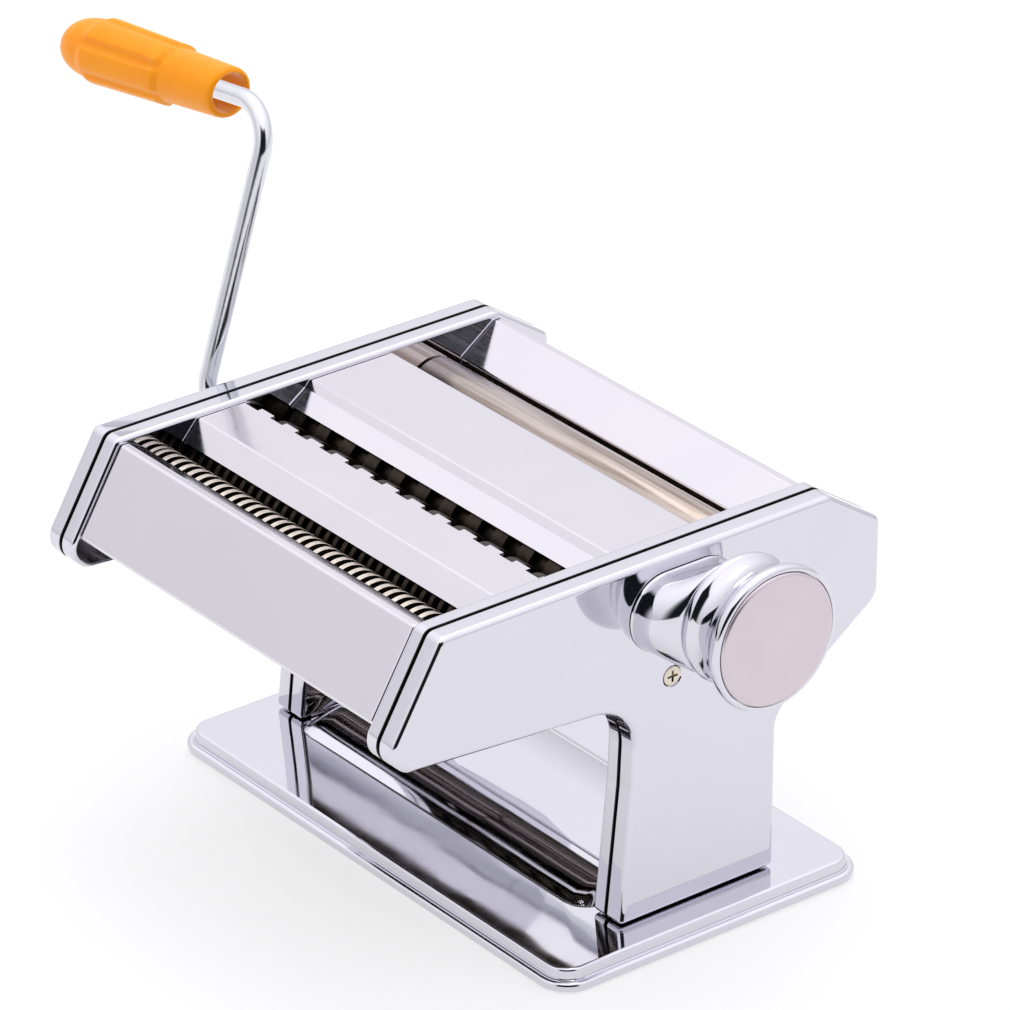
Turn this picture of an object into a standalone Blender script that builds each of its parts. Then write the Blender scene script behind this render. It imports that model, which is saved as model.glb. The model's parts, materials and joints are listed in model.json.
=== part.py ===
"""Hand-cranked pasta roller machine: smooth rollers, a wide and a fine cutter, a pressed base and a crank.

X runs along the rollers (crank at -X, thickness knob at +X), -Y is the front, +Z is up.
Lengths below are in millimetres. The origin is the bottom centre of the whole machine's box.
"""
import math

import bmesh
import bpy
from mathutils import Matrix, Vector

for old in list(bpy.data.objects):
    bpy.data.objects.remove(old, do_unlink=True)

MM = 0.001
GAP = 0.3

# Middle of the whole machine's box, measured from the middle of the base.
BOX_CENTRE_X = -44.67
BOX_CENTRE_Y = -22.04

# Pressed base and its feet
BASE_X = 203.4
BASE_Y = 124.0
BASE_MIDDLE_X = 1.3
BASE_MIDDLE_Y = -1.3
BASE_RADIUS = 11.0
BASE_TOP = 7.5
BASE_RIM_BOTTOM = 0.8
BASE_SHEET = 1.2
FOOT_RADIUS = 7.0
HUMP_HALF_X = 75.2
HUMP_HALF_Y = 33.5
HUMP_RISE_Y = 24.0
HUMP_END = 6.0
HUMP_CORNER = 9.0
HUMP_SLOPE = math.radians(25.0)
FOOT_X = 84.0
FOOT_Y = 44.0

# Side assemblies: an inner frame pan and an outer cover pan that meet at a seam
FRAME_INNER_X = 76.0
FRAME_WEB = 1.8
SEAM_X = 82.4
COVER_FACE_X = 89.9
PAN_WALL = 1.8
PAN_EDGE = 1.7

# Side outline (y, z, corner radius, arc steps), clockwise seen from the knob side
SIDE_OUTLINE = (
    (-98.8, 132.4, 3.5, 2),
    (52.0, 132.4, 5.0, 2),
    (73.2, 118.2, 3.0, 2),
    (73.2, 91.0, 7.0, 2),
    (32.4, 62.0, 10.0, 2),
    (32.4, 8.1, 1.0, 1),
    (-29.6, 8.1, 1.0, 1),
    (-25.0, 54.0, 20.0, 1),
    (-23.6, 84.6, 17.0, 5),
    (-112.0, 91.0, 6.0, 2),
    (-119.2, 97.6, 7.0, 3),
)

# Cross sections of the sheet parts (y, z of the sheet's middle)
SHEET = 1.0
FRONT_PANEL_PATH = ((-107.0, 100.6), (-114.3, 103.0), (-98.0, 130.3), (-95.9, 130.3), (-89.9, 127.0))
NARROW_PLATE_PATH = ((-73.4, 123.9), (-67.7, 130.5), (-49.2, 130.5))
WIDE_PLATE_PATH = ((-31.6, 123.7), (-25.4, 128.0), (-24.9, 130.5), (8.4, 130.5), (8.4, 126.6))
REAR_PANEL_PATH = ((36.0, 118.9), (50.6, 129.4), (53.0, 129.4), (56.6, 125.4))
SHEET_HALF_LENGTH = 75.7

# Axes of the roller pairs (y, z) and the roller sizes
AXIS_Z = 115.0
SMOOTH_Z = 114.0
FINE_FRONT_Y = -82.9
FINE_REAR_Y = -65.5
FINE_DISC_R = 9.2
FINE_GROOVE_R = 7.6
FINE_PITCH = 4.4
WIDE_FRONT_Y = -43.7
WIDE_REAR_Y = -25.2
WIDE_DISC_R = 9.9
WIDE_GROOVE_R = 7.9
WIDE_PITCH = 13.0
SMOOTH_REAR_Y = 25.3
SMOOTH_FRONT_Y = 4.6
SMOOTH_R = 10.15
ROLLER_HALF_LENGTH = 75.4
SHAFT_R = 4.0
DRIVE_SHAFT_R = 5.2
SOCKET_FLAT_R = 3.0

# Gears on the crank side
GEAR_TEETH = 12
GEAR_INNER_X = 79.0
GEAR_OUTER_X = 85.0

# Thickness regulator on the knob side
KNOB_Y = 1.5
KNOB_Z = 114.0
BOSS_FRONT_Y = -13.7
BOSS_R = 13.0
BOSS_ROUND_R = 20.2
BOSS_FACE_X = 105.2
KNOB_BACK_X = 105.6
KNOB_FRONT_X = 125.6
KNOB_R = 24.0
ECCENTRICITY = 1.3
PIN_R = 2.0
GAP_TRAVEL = 2.6

# Crank: round bar with a hexagonal tip, an arm that leans back and a drooping grip
CRANK_Y = WIDE_FRONT_Y
CRANK_Z = AXIS_Z
ROD_R = 3.1
HEX_FLAT_R = 2.7
ROD_TIP_X = -72.8
ARM_X = -108.3
ARM_LEAN = math.radians(17.3)
ARM_LENGTH = 101.0
GRIP_DROOP = math.radians(6.8)
LOWER_BEND_R = 11.0
UPPER_BEND_R = 14.0
GRIP_START = 21.9
GRIP_END = 106.8

# Frame screws
COVER_SCREW_Y = -10.1
COVER_SCREW_Z = 90.3
BASE_SCREW_X = 79.4
BASE_SCREW_Y = (-18.0, 22.0)
TIE_RODS = {"tie_rod_front": (-100.5, 108.5), "tie_rod_middle": (-16.5, 99.5), "tie_rod_rear": (60.0, 104.0)}
TIE_ROD_R = 3.5


def linear_colour(code):
    """sRGB hex to linear RGBA."""
    channels = [int(code[i:i + 2], 16) / 255 for i in (0, 2, 4)]
    return [c / 12.92 if c < 0.04045 else ((c + 0.055) / 1.055) ** 2.4 for c in channels] + [1.0]


def material(name, code, metallic, roughness):
    mat = bpy.data.materials.new(name)
    mat.use_nodes = True
    shader = mat.node_tree.nodes["Principled BSDF"]
    shader.inputs["Base Color"].default_value = linear_colour(code)
    shader.inputs["Metallic"].default_value = metallic
    shader.inputs["Roughness"].default_value = roughness
    mat.diffuse_color = linear_colour(code)
    return mat


CHROME = material("chrome_plate", "DCDAE0", 1.0, 0.08)
PRESSED_STEEL = material("bright_pressed_steel", "D2CFD4", 1.0, 0.16)
ROLLER_STEEL = material("turned_roller_steel", "A89C98", 1.0, 0.3)
CUTTER_STEEL = material("plated_cutter_steel", "C9C2B6", 1.0, 0.35)
GEAR_STEEL = material("hardened_gear_steel", "8E8B88", 1.0, 0.4)
ROD_STEEL = material("plated_bar_steel", "C4C5CA", 1.0, 0.18)
SCREW_STEEL = material("plated_screw_steel", "CFC9BC", 1.0, 0.3)
ORANGE_PLASTIC = material("orange_plastic", "FE9B19", 0.0, 0.4)
BLACK_RUBBER = material("black_rubber", "1A1A1B", 0.0, 0.8)
NYLON = material("white_nylon", "E6E2DA", 0.0, 0.5)
SPRING_STEEL = material("spring_steel", "9C9CA0", 1.0, 0.3)
DIAL_ALUMINIUM = material("satin_dial_aluminium", "D4CAD3", 1.0, 0.4)


def stack(loops, closed=False):
    """Skin a row of equal loops of points; the end loops are capped unless the row closes on itself."""
    bm = bmesh.new()
    rings = [[bm.verts.new(point) for point in loop] for loop in loops]
    count = len(rings[0])
    pairs = list(zip(rings, rings[1:]))
    if closed:
        pairs.append((rings[-1], rings[0]))
    for first, second in pairs:
        for i in range(count):
            j = (i + 1) % count
            bm.faces.new((first[i], first[j], second[j], second[i]))
    if not closed:
        bm.faces.new(rings[0][::-1])
        bm.faces.new(rings[-1])
    if bm.calc_volume(signed=True) < 0.0:
        bmesh.ops.reverse_faces(bm, faces=bm.faces)
    bm.normal_update()
    return bm


def add_object(name, bm, mat, origin=(0.0, 0.0, 0.0), smooth=None):
    """Make an object from a bmesh drawn in machine millimetres, with its origin at a machine point."""
    bmesh.ops.translate(bm, verts=bm.verts, vec=-Vector(origin))
    bmesh.ops.scale(bm, verts=bm.verts, vec=(MM, MM, MM))
    mesh = bpy.data.meshes.new(name)
    bm.to_mesh(mesh)
    bm.free()
    if smooth is not None:
        mesh.shade_smooth()
        mesh.set_sharp_from_angle(angle=math.radians(smooth))
    mesh.materials.append(mat)
    obj = bpy.data.objects.new(name, mesh)
    bpy.context.scene.collection.objects.link(obj)
    obj.location = Vector(origin) * MM
    return obj


def boolean(target, tool, operation):
    """Cut or join a target with a hidden tool object."""
    tool.hide_render = True
    tool.display_type = "WIRE"
    modifier = target.modifiers.new(tool.name, "BOOLEAN")
    modifier.operation = operation
    modifier.object = tool


def circle(y, z, radius, segments, phase=0.0):
    """Points (y, z) round an axis along X."""
    angles = [2 * math.pi * (i + phase) / segments for i in range(segments)]
    return [(y + radius * math.cos(a), z + radius * math.sin(a)) for a in angles]


def lathe(axis, profile, segments, closed=False, phase=0.5):
    """Turn (x, radius) points about an axis along X."""
    loops = [[(x, y, z) for y, z in circle(*axis, radius, segments, phase)] for x, radius in profile]
    return stack(loops, closed)


def prism(outline, x_start, x_end):
    """Extrude a (y, z) outline along X."""
    return stack([[(x, y, z) for y, z in outline] for x in (x_start, x_end)])


def rounded(corners):
    """Outline with an arc at each (y, z, radius, steps) corner."""
    points = []
    for i, (y, z, radius, steps) in enumerate(corners):
        here = Vector((y, z))
        back = (Vector(corners[i - 1][:2]) - here).normalized()
        ahead = (Vector(corners[(i + 1) % len(corners)][:2]) - here).normalized()
        half = back.angle(ahead) / 2
        centre = here + (back + ahead).normalized() * radius / math.sin(half)
        start = here + back * radius / math.tan(half) - centre
        turn = start.angle_signed(here + ahead * radius / math.tan(half) - centre)
        for k in range(steps + 1):
            points.append(tuple(centre + Matrix.Rotation(-turn * k / steps, 2) @ start))
    return points


def inset(outline, distance):
    """Move each edge of a clockwise (y, z) outline inwards."""
    points = []
    for i, point in enumerate(outline):
        here = Vector(point)
        along_in = (here - Vector(outline[i - 1])).normalized()
        along_out = (Vector(outline[(i + 1) % len(outline)]) - here).normalized()
        normal = Vector((along_in.y, -along_in.x)) + Vector((along_out.y, -along_out.x))
        normal.normalize()
        scale = normal.dot(Vector((along_in.y, -along_in.x)))
        points.append(tuple(here + normal * distance / scale))
    return points


def sheet(path, thickness):
    """Outline of a bent sheet round the (y, z) path of its middle."""
    left, right = [], []
    for i, point in enumerate(path):
        here = Vector(point)
        before = (here - Vector(path[max(i - 1, 0)])).normalized()
        after = (Vector(path[min(i + 1, len(path) - 1)]) - here).normalized()
        direction = (before + after).normalized()
        normal = Vector((-direction.y, direction.x))
        reference = after if after.length else before
        reach = thickness / 2 / max(abs(normal.dot(Vector((-reference.y, reference.x)))), 0.3)
        left.append(tuple(here + normal * reach))
        right.append(tuple(here - normal * reach))
    return left + right[::-1]


def hole(name, target, axis, radius, x_start, x_end, segments=12):
    """Cut a round hole along X."""
    tool = add_object(name, lathe(axis, ((x_start, radius), (x_end, radius)), segments), SCREW_STEEL)
    boolean(target, tool, "DIFFERENCE")


def block(name, low, high, mat=SCREW_STEEL):
    """Axis-aligned box between two corners."""
    loops = [[(low[0], low[1], z), (high[0], low[1], z), (high[0], high[1], z), (low[0], high[1], z)]
             for z in (low[2], high[2])]
    return add_object(name, stack(loops), mat)


def rounded_rectangle(inset_by, z, steps=4):
    """Loop of the base outline at one height."""
    half_x = BASE_X / 2 - inset_by
    half_y = BASE_Y / 2 - inset_by
    radius = max(BASE_RADIUS - inset_by, 1.0)
    loop = []
    for quarter, (sx, sy) in enumerate(((1, 1), (-1, 1), (-1, -1), (1, -1))):
        for k in range(steps + 1):
            angle = math.pi / 2 * (quarter + k / steps)
            loop.append((BASE_MIDDLE_X + sx * (half_x - radius) + radius * math.cos(angle),
                         BASE_MIDDLE_Y + sy * (half_y - radius) + radius * math.sin(angle), z))
    return loop


def hump_section(x, inset_by, bottom, drop):
    """Closed (x, y, z) section of the arched hump at one x."""
    half_x, half_y = HUMP_HALF_X - inset_by, HUMP_HALF_Y - inset_by
    past_corner = max(abs(x) - (half_x - HUMP_CORNER), 0.0)
    half_y += math.sqrt(HUMP_CORNER ** 2 - past_corner ** 2) - HUMP_CORNER
    past_end = max(abs(x) - (half_x - HUMP_END), 0.0) / HUMP_END
    share = math.sqrt(1.0 - past_end ** 2)
    radius = HUMP_RISE_Y / math.sin(HUMP_SLOPE)
    points = []
    for side in (-1, 1):
        rise = []
        for k in range(10):
            reach = HUMP_RISE_Y * k / 9
            lift = math.sqrt(radius ** 2 - (HUMP_RISE_Y - reach) ** 2) - radius * math.cos(HUMP_SLOPE)
            rise.append((x, side * (half_y - reach), BASE_TOP - drop + lift * share))
        points += [(x, side * half_y, bottom)] + rise if side < 0 else rise[::-1] + [(x, side * half_y, bottom)]
    return points


def hump(name, inset_by, bottom, drop):
    """Arched hump between the legs, or the hollow under it."""
    half_x = HUMP_HALF_X - inset_by
    ends = [HUMP_END * share for share in (0.015, 0.08, 0.22, 0.45, 0.7, 1.0)] + [HUMP_CORNER]
    positions = [-half_x + a for a in ends] + [half_x - a for a in ends[::-1]]
    return add_object(name, stack([hump_section(x, inset_by, bottom, drop) for x in positions]), CHROME)


def make_base():
    """Pressed tray: rolled rim, shallow groove, step up to the flat platform and an arched hump in its middle."""
    under = BASE_TOP - BASE_SHEET
    loops = [
        rounded_rectangle(5.0, under),
        rounded_rectangle(4.2, under - 0.6),
        rounded_rectangle(3.8, 2.8),
        rounded_rectangle(1.5, 2.5),
        rounded_rectangle(1.2, BASE_RIM_BOTTOM),
        rounded_rectangle(0.3, BASE_RIM_BOTTOM),
        rounded_rectangle(0.0, 1.4),
        rounded_rectangle(0.0, 2.8),
        rounded_rectangle(0.8, 3.8),
        rounded_rectangle(2.5, 4.1),
        rounded_rectangle(3.0, BASE_TOP - 0.8),
        rounded_rectangle(3.8, BASE_TOP),
    ]
    base = add_object("base_plate", stack(loops), CHROME, smooth=35)
    boolean(base, hump("join_hump", 0.0, BASE_TOP - BASE_SHEET / 2, 0.0), "UNION")
    boolean(base, hump("cut_hump", BASE_SHEET, BASE_TOP - BASE_SHEET * 2, BASE_SHEET), "DIFFERENCE")
    for side, label in ((-1, "left"), (1, "right")):
        for y in BASE_SCREW_Y:
            name = "cut_base_" + label + ("_front" if y < 0 else "_rear")
            loops = [[(side * BASE_SCREW_X + 1.9 * math.cos(a), y + 1.9 * math.sin(a), z)
                      for a in [math.pi * i / 5 for i in range(10)]] for z in (4.0, 8.0)]
            boolean(base, add_object(name, stack(loops), SCREW_STEEL), "DIFFERENCE")


def make_feet():
    """Four round rubber feet under the platform's corners."""
    for side, label in ((-1, "left"), (1, "right")):
        for end, end_label in ((-1, "front"), (1, "rear")):
            loops = []
            for z, radius in ((0.0, FOOT_RADIUS - 0.8), (1.0, FOOT_RADIUS), (BASE_TOP - BASE_SHEET - GAP, FOOT_RADIUS)):
                loops.append([(side * FOOT_X + radius * math.cos(math.pi * i / 8),
                               end * FOOT_Y + radius * math.sin(math.pi * i / 8), z) for i in range(16)])
            add_object("rubber_foot_" + end_label + "_" + label, stack(loops), BLACK_RUBBER, smooth=40)


def make_base_screws():
    """Pan-head screws that come up through the base into the side frames' feet."""
    for side, label in ((-1, "left"), (1, "right")):
        for y in BASE_SCREW_Y:
            loops = []
            for z, radius in ((2.7, 2.2), (3.3, 3.2), (4.9, 3.2), (4.9, 1.5), (15.5, 1.5)):
                loops.append([(side * BASE_SCREW_X + radius * math.cos(math.pi * i / 5),
                               y + radius * math.sin(math.pi * i / 5), z) for i in range(10)])
            name = "base_screw_" + ("front_" if y < 0 else "rear_") + label
            add_object(name, stack(loops), SCREW_STEEL, smooth=40)


def side_pan(name, side, back_x, seam_x, step_x, wall_x, mat):
    """Pressed pan with a rounded back: back_x is its flat face, seam_x its open rim."""
    outline = rounded(SIDE_OUTLINE)
    face = inset(outline, PAN_EDGE)
    inner = inset(outline, PAN_WALL)
    floor = inset(outline, PAN_WALL + 1.0)
    loops = []
    for ring, x in ((floor, wall_x), (inner, wall_x + (seam_x - wall_x) * 0.25), (inner, seam_x),
                    (outline, seam_x), (outline, step_x), (face, back_x)):
        loops.append([(side * x, y, z) for y, z in ring])
    return add_object(name, stack(loops), mat, smooth=35)


def make_side_frame(side, label):
    """Inner pan that carries every shaft, with a solid foot that stands on the base."""
    wall_x = FRAME_INNER_X + FRAME_WEB
    frame = side_pan("side_frame_" + label, side, FRAME_INNER_X, SEAM_X - GAP / 2, FRAME_INNER_X + 1.6, wall_x, CHROME)
    foot = block("join_foot_" + label, (side * 76.6 if side > 0 else -82.0, -25.0, BASE_TOP + GAP),
                 (82.0 if side > 0 else -76.6, 28.5, 18.0))
    boolean(frame, foot, "UNION")
    x_start, x_end = side * 75.0, side * 79.5
    for axis_name, y, z, front in (("fine_front", FINE_FRONT_Y, AXIS_Z, True), ("fine_rear", FINE_REAR_Y, AXIS_Z, False),
                                   ("wide_front", WIDE_FRONT_Y, AXIS_Z, True), ("wide_rear", WIDE_REAR_Y, AXIS_Z, False),
                                   ("smooth_rear", SMOOTH_REAR_Y, SMOOTH_Z, True)):
        radius = DRIVE_SHAFT_R if side < 0 and front else SHAFT_R
        hole("cut_" + axis_name + "_" + label, frame, (y, z), radius + GAP, x_start, x_end)
    slot = rounded(((SMOOTH_FRONT_Y - GAP_TRAVEL - 8.0, SMOOTH_Z + 8.0, 7.6, 3), (SMOOTH_FRONT_Y + 8.0, SMOOTH_Z + 8.0, 7.6, 3),
                    (SMOOTH_FRONT_Y + 8.0, SMOOTH_Z - 8.0, 7.6, 3), (SMOOTH_FRONT_Y - GAP_TRAVEL - 8.0, SMOOTH_Z - 8.0, 7.6, 3)))
    tool = add_object("cut_slot_" + label, prism(slot, x_start, x_end), SCREW_STEEL)
    boolean(frame, tool, "DIFFERENCE")
    for rod, (y, z) in TIE_RODS.items():
        hole("cut_" + rod + "_" + label, frame, (y, z), 2.3, x_start, x_end, 8)
    hole("cut_cover_post_" + label, frame, (COVER_SCREW_Y, COVER_SCREW_Z), 1.8, x_start, x_end, 8)
    for y in BASE_SCREW_Y:
        loops = [[(side * BASE_SCREW_X + 1.8 * math.cos(math.pi * i / 5), y + 1.8 * math.sin(math.pi * i / 5), z)
                  for i in range(10)] for z in (5.0, 16.0)]
        name = "cut_screw_" + ("front_" if y < 0 else "rear_") + label
        boolean(frame, add_object(name, stack(loops), SCREW_STEEL), "DIFFERENCE")


def make_side_cover(side, label):
    """Outer pan over the gears or the regulator, held by one countersunk screw."""
    cover = side_pan("side_cover_" + label, side, COVER_FACE_X, SEAM_X + GAP / 2, COVER_FACE_X - 1.9,
                     COVER_FACE_X - 2.0, CHROME)
    x_start, x_end = side * 86.0, side * 92.0
    if side < 0:
        for axis_name, y, z in (("fine", FINE_FRONT_Y, AXIS_Z), ("wide", WIDE_FRONT_Y, AXIS_Z),
                                ("smooth", SMOOTH_REAR_Y, SMOOTH_Z)):
            hole("cut_socket_" + axis_name, cover, (y, z), DRIVE_SHAFT_R + 0.6, x_start, x_end, 16)
    else:
        hole("cut_spindle_cover", cover, (KNOB_Y, KNOB_Z), 4.4, x_start, x_end, 16)
    profile = ((side * 87.0, 1.8), (side * 88.0, 1.8), (side * 90.2, 3.9))
    tool = add_object("cut_countersink_" + label, lathe((COVER_SCREW_Y, COVER_SCREW_Z), profile, 12), SCREW_STEEL)
    boolean(cover, tool, "DIFFERENCE")


def make_cover_screw(side, label):
    """Countersunk screw with a cross recess; its shank reaches through the frame's web."""
    profile = ((side * 74.6, 1.5), (side * 87.95, 1.5), (side * 89.7, 3.2), (side * 89.95, 3.2))
    screw = add_object("cover_screw_" + label, lathe((COVER_SCREW_Y, COVER_SCREW_Z), profile, 12), SCREW_STEEL, smooth=40)
    for tag, half_y, half_z in (("a", 2.0, 0.45), ("b", 0.45, 2.0)):
        low = (min(side * 88.7, side * 91.0), COVER_SCREW_Y - half_y, COVER_SCREW_Z - half_z)
        high = (max(side * 88.7, side * 91.0), COVER_SCREW_Y + half_y, COVER_SCREW_Z + half_z)
        boolean(screw, block("cut_cross_" + tag + "_" + label, low, high), "DIFFERENCE")


def make_tie_rods():
    """Three rods that space the side frames, each riveted over at both ends."""
    for name, axis in TIE_RODS.items():
        half = ((78.1, 3.2), (79.4, 3.2), (79.4, 1.6))
        profile = [(-79.4, 3.0), (-78.1, 3.2), (-78.1, 2.0), (-75.7, 2.0), (-75.7, TIE_ROD_R),
                   (75.7, TIE_ROD_R), (75.7, 2.0), (78.1, 2.0), half[0], (79.4, 3.0)]
        add_object(name, lathe(axis, profile, 10), ROD_STEEL, smooth=40)


def make_sheet_parts():
    """Bent sheets between the side frames: front panel, two top plates and the rear panel."""
    for name, path in (("front_panel", FRONT_PANEL_PATH), ("narrow_top_plate", NARROW_PLATE_PATH),
                       ("wide_top_plate", WIDE_PLATE_PATH), ("rear_panel", REAR_PANEL_PATH)):
        outline = sheet(path, SHEET)
        add_object(name, prism(outline, -SHEET_HALF_LENGTH, SHEET_HALF_LENGTH), PRESSED_STEEL)


def roller_profile(body, drive):
    """Roller outline from the knob end to the crank end, with a plain or a socketed left shaft."""
    left_r = DRIVE_SHAFT_R if drive else SHAFT_R
    left_x = -87.4 if drive else -86.0
    return [(79.6, SHAFT_R - 0.4), (79.2, SHAFT_R), (ROLLER_HALF_LENGTH, SHAFT_R)] + body + [
        (-ROLLER_HALF_LENGTH, left_r), (left_x, left_r)]


def disc_body(disc_r, groove_r, pitch, offset):
    """Steps of a cutter roller: discs half a pitch wide, shifted so that the two rollers interleave."""
    count = int(round(2 * ROLLER_HALF_LENGTH / pitch)) + 2
    half = pitch / 4 - GAP / 2
    points = []
    for i in range(count, -count - 1, -1):
        centre = (i + offset) * pitch
        high, low = min(centre + half, ROLLER_HALF_LENGTH), max(centre - half, -ROLLER_HALF_LENGTH)
        if high - low > 0.5:
            points += [(high, groove_r), (high, disc_r), (low, disc_r), (low, groove_r)]
    if points[0][0] < ROLLER_HALF_LENGTH:
        points.insert(0, (ROLLER_HALF_LENGTH, groove_r))
    else:
        points.pop(0)
    if points[-1][0] > -ROLLER_HALF_LENGTH:
        points.append((-ROLLER_HALF_LENGTH, groove_r))
    else:
        points.pop()
    return points


def cut_socket(roller, axis, name):
    """Blind hexagonal socket for the crank tip."""
    corner = SOCKET_FLAT_R / math.cos(math.pi / 6)
    phase = (math.pi - ARM_LEAN) / (math.pi / 3)
    tool = add_object(name, lathe(axis, ((-90.0, corner), (-71.6, corner)), 6, phase=phase), SCREW_STEEL)
    boolean(roller, tool, "DIFFERENCE")


def make_roller(name, y, z, body, segments, mat, drive):
    roller = add_object(name, lathe((y, z), roller_profile(body, drive), segments), mat, (0.0, y, z), smooth=35)
    if drive:
        cut_socket(roller, (y, z), "cut_hex_" + name)


def make_rollers():
    """Two grooved cutter pairs and the smooth pair that rolls the dough."""
    for kind, fronts, disc_r, groove_r, pitch, segments in (
            ("fine", (FINE_FRONT_Y, FINE_REAR_Y), FINE_DISC_R, FINE_GROOVE_R, FINE_PITCH, 8),
            ("wide", (WIDE_FRONT_Y, WIDE_REAR_Y), WIDE_DISC_R, WIDE_GROOVE_R, WIDE_PITCH, 12)):
        for y, end, offset in ((fronts[0], "front", 0.0), (fronts[1], "rear", 0.5)):
            body = disc_body(disc_r, groove_r, pitch, offset)
            make_roller(kind + "_cutter_" + end, y, AXIS_Z, body, segments, CUTTER_STEEL, end == "front")
    plain = [(ROLLER_HALF_LENGTH, SMOOTH_R - 0.8), (ROLLER_HALF_LENGTH - 0.8, SMOOTH_R),
             (-ROLLER_HALF_LENGTH + 0.8, SMOOTH_R), (-ROLLER_HALF_LENGTH, SMOOTH_R - 0.8)]
    make_roller("smooth_roller_rear", SMOOTH_REAR_Y, SMOOTH_Z, plain, 20, ROLLER_STEEL, True)
    make_roller("smooth_roller_front", SMOOTH_FRONT_Y, SMOOTH_Z, plain, 20, ROLLER_STEEL, False)


def gear_outline(y, z, pitch_r, phase):
    """Stub teeth with straight flanks."""
    points = []
    for tooth in range(GEAR_TEETH):
        middle = 360 / GEAR_TEETH * (tooth + phase)
        for radius, angle in ((pitch_r - 1.05, -8.2), (pitch_r + 0.75, -4.3), (pitch_r + 0.75, 4.3), (pitch_r - 1.05, 8.2)):
            turn = math.radians(middle + angle)
            points.append((y + radius * math.cos(turn), z + radius * math.sin(turn)))
    return points


def make_gears():
    """One pair of equal gears on each pair of rollers, behind the crank-side cover."""
    for kind, front_y, rear_y, z, driven in (("fine", FINE_FRONT_Y, FINE_REAR_Y, AXIS_Z, "front"),
                                             ("wide", WIDE_FRONT_Y, WIDE_REAR_Y, AXIS_Z, "front"),
                                             ("smooth", SMOOTH_FRONT_Y, SMOOTH_REAR_Y, SMOOTH_Z, "rear")):
        pitch_r = (rear_y - front_y) / 2
        for end, y, phase in (("front", front_y, 0.0), ("rear", rear_y, 0.5)):
            name = kind + "_gear_" + end
            outline = gear_outline(y, z, pitch_r, phase)
            gear = add_object(name, prism(outline, -GEAR_INNER_X, -GEAR_OUTER_X), GEAR_STEEL, (0.0, y, z))
            bore = DRIVE_SHAFT_R if end == driven else SHAFT_R
            hole("cut_" + name, gear, (y, z), bore + GAP, -GEAR_INNER_X + 2.0, -GEAR_OUTER_X - 2.0)


def comb_outline(x_low, x_high, pitch, offset, root, tip):
    """Flat comb (x, depth): a straight bar with one tooth in each groove of its roller."""
    points = [(x_high, 0.0), (x_low, 0.0)]
    half = pitch / 4 - 0.8 if pitch > 6 else pitch / 4 - 0.5
    count = int((x_high - x_low) / pitch) + 2
    for i in range(-count, count + 1):
        centre = (i + offset) * pitch
        if centre - half > x_low + 0.5 and centre + half < x_high - 0.5:
            points += [(centre - half, root), (centre - half, tip), (centre + half, tip), (centre + half, root)]
    return points


def make_comb(name, axis_y, lean, pitch, offset, groove_r, disc_r):
    """Stripper comb under a cutter roller; its teeth reach into the grooves from below."""
    down = Vector((math.sin(lean), -math.cos(lean)))
    across = Vector((-down.y, down.x))
    bar_far = disc_r + 5.0
    outline = comb_outline(-SHEET_HALF_LENGTH, SHEET_HALF_LENGTH, pitch, offset, bar_far - disc_r - 0.6,
                           bar_far - groove_r - 0.5)
    loops = []
    for side in (-0.5, 0.5):
        loop = []
        for x, depth in outline:
            point = Vector((axis_y, AXIS_Z)) + down * (bar_far - depth) + across * side
            loop.append((x, point.x, point.y))
        loops.append(loop)
    add_object(name, stack(loops), PRESSED_STEEL)


def make_combs():
    for kind, fronts, pitch, groove_r, disc_r in (
            ("fine", (FINE_FRONT_Y, FINE_REAR_Y), FINE_PITCH, FINE_GROOVE_R, FINE_DISC_R),
            ("wide", (WIDE_FRONT_Y, WIDE_REAR_Y), WIDE_PITCH, WIDE_GROOVE_R, WIDE_DISC_R)):
        make_comb(kind + "_comb_front", fronts[0], math.radians(-6), pitch, 0.5, groove_r, disc_r)
        make_comb(kind + "_comb_rear", fronts[1], math.radians(6), pitch, 0.0, groove_r, disc_r)


def make_scrapers():
    """Thin blades that keep dough off the smooth rollers."""
    for name, y, sign in (("scraper_front", SMOOTH_FRONT_Y, -1), ("scraper_rear", SMOOTH_REAR_Y, 1)):
        reach = SMOOTH_R + 0.5 + (GAP_TRAVEL if sign < 0 else 0.0)
        path = ((y + sign * 3.0, SMOOTH_Z - reach - 0.5), (y + sign * 8.0, SMOOTH_Z - reach - 5.5),
                (y + sign * 8.0, SMOOTH_Z - reach - 10.0))
        add_object(name, prism(sheet(path, 0.8), -SHEET_HALF_LENGTH, SHEET_HALF_LENGTH), PRESSED_STEEL)


def make_adjuster_blocks():
    """Sliding bearings of the front smooth roller; the right one takes the regulator's eccentric pin."""
    axis = (SMOOTH_FRONT_Y, SMOOTH_Z)
    origin = (0.0, SMOOTH_FRONT_Y, SMOOTH_Z)
    left = lathe(axis, ((-76.2, 7.2), (-78.6, 7.2), (-78.6, SHAFT_R + GAP), (-76.2, SHAFT_R + GAP)), 16, closed=True)
    add_object("roller_bearing_left", left, NYLON, origin, smooth=35)
    right = add_object("roller_bearing_right", lathe(axis, ((76.2, 7.2), (84.2, 7.2)), 16), NYLON, origin, smooth=35)
    hole("cut_bearing_bore", right, axis, SHAFT_R + GAP, 75.0, 80.0, 16)
    half = PIN_R + 0.4
    tool = block("cut_bearing_slot", (81.2, KNOB_Y + ECCENTRICITY - half, SMOOTH_Z - 4.4),
                 (86.0, KNOB_Y + ECCENTRICITY + half, SMOOTH_Z + 4.4))
    boolean(right, tool, "DIFFERENCE")


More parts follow.
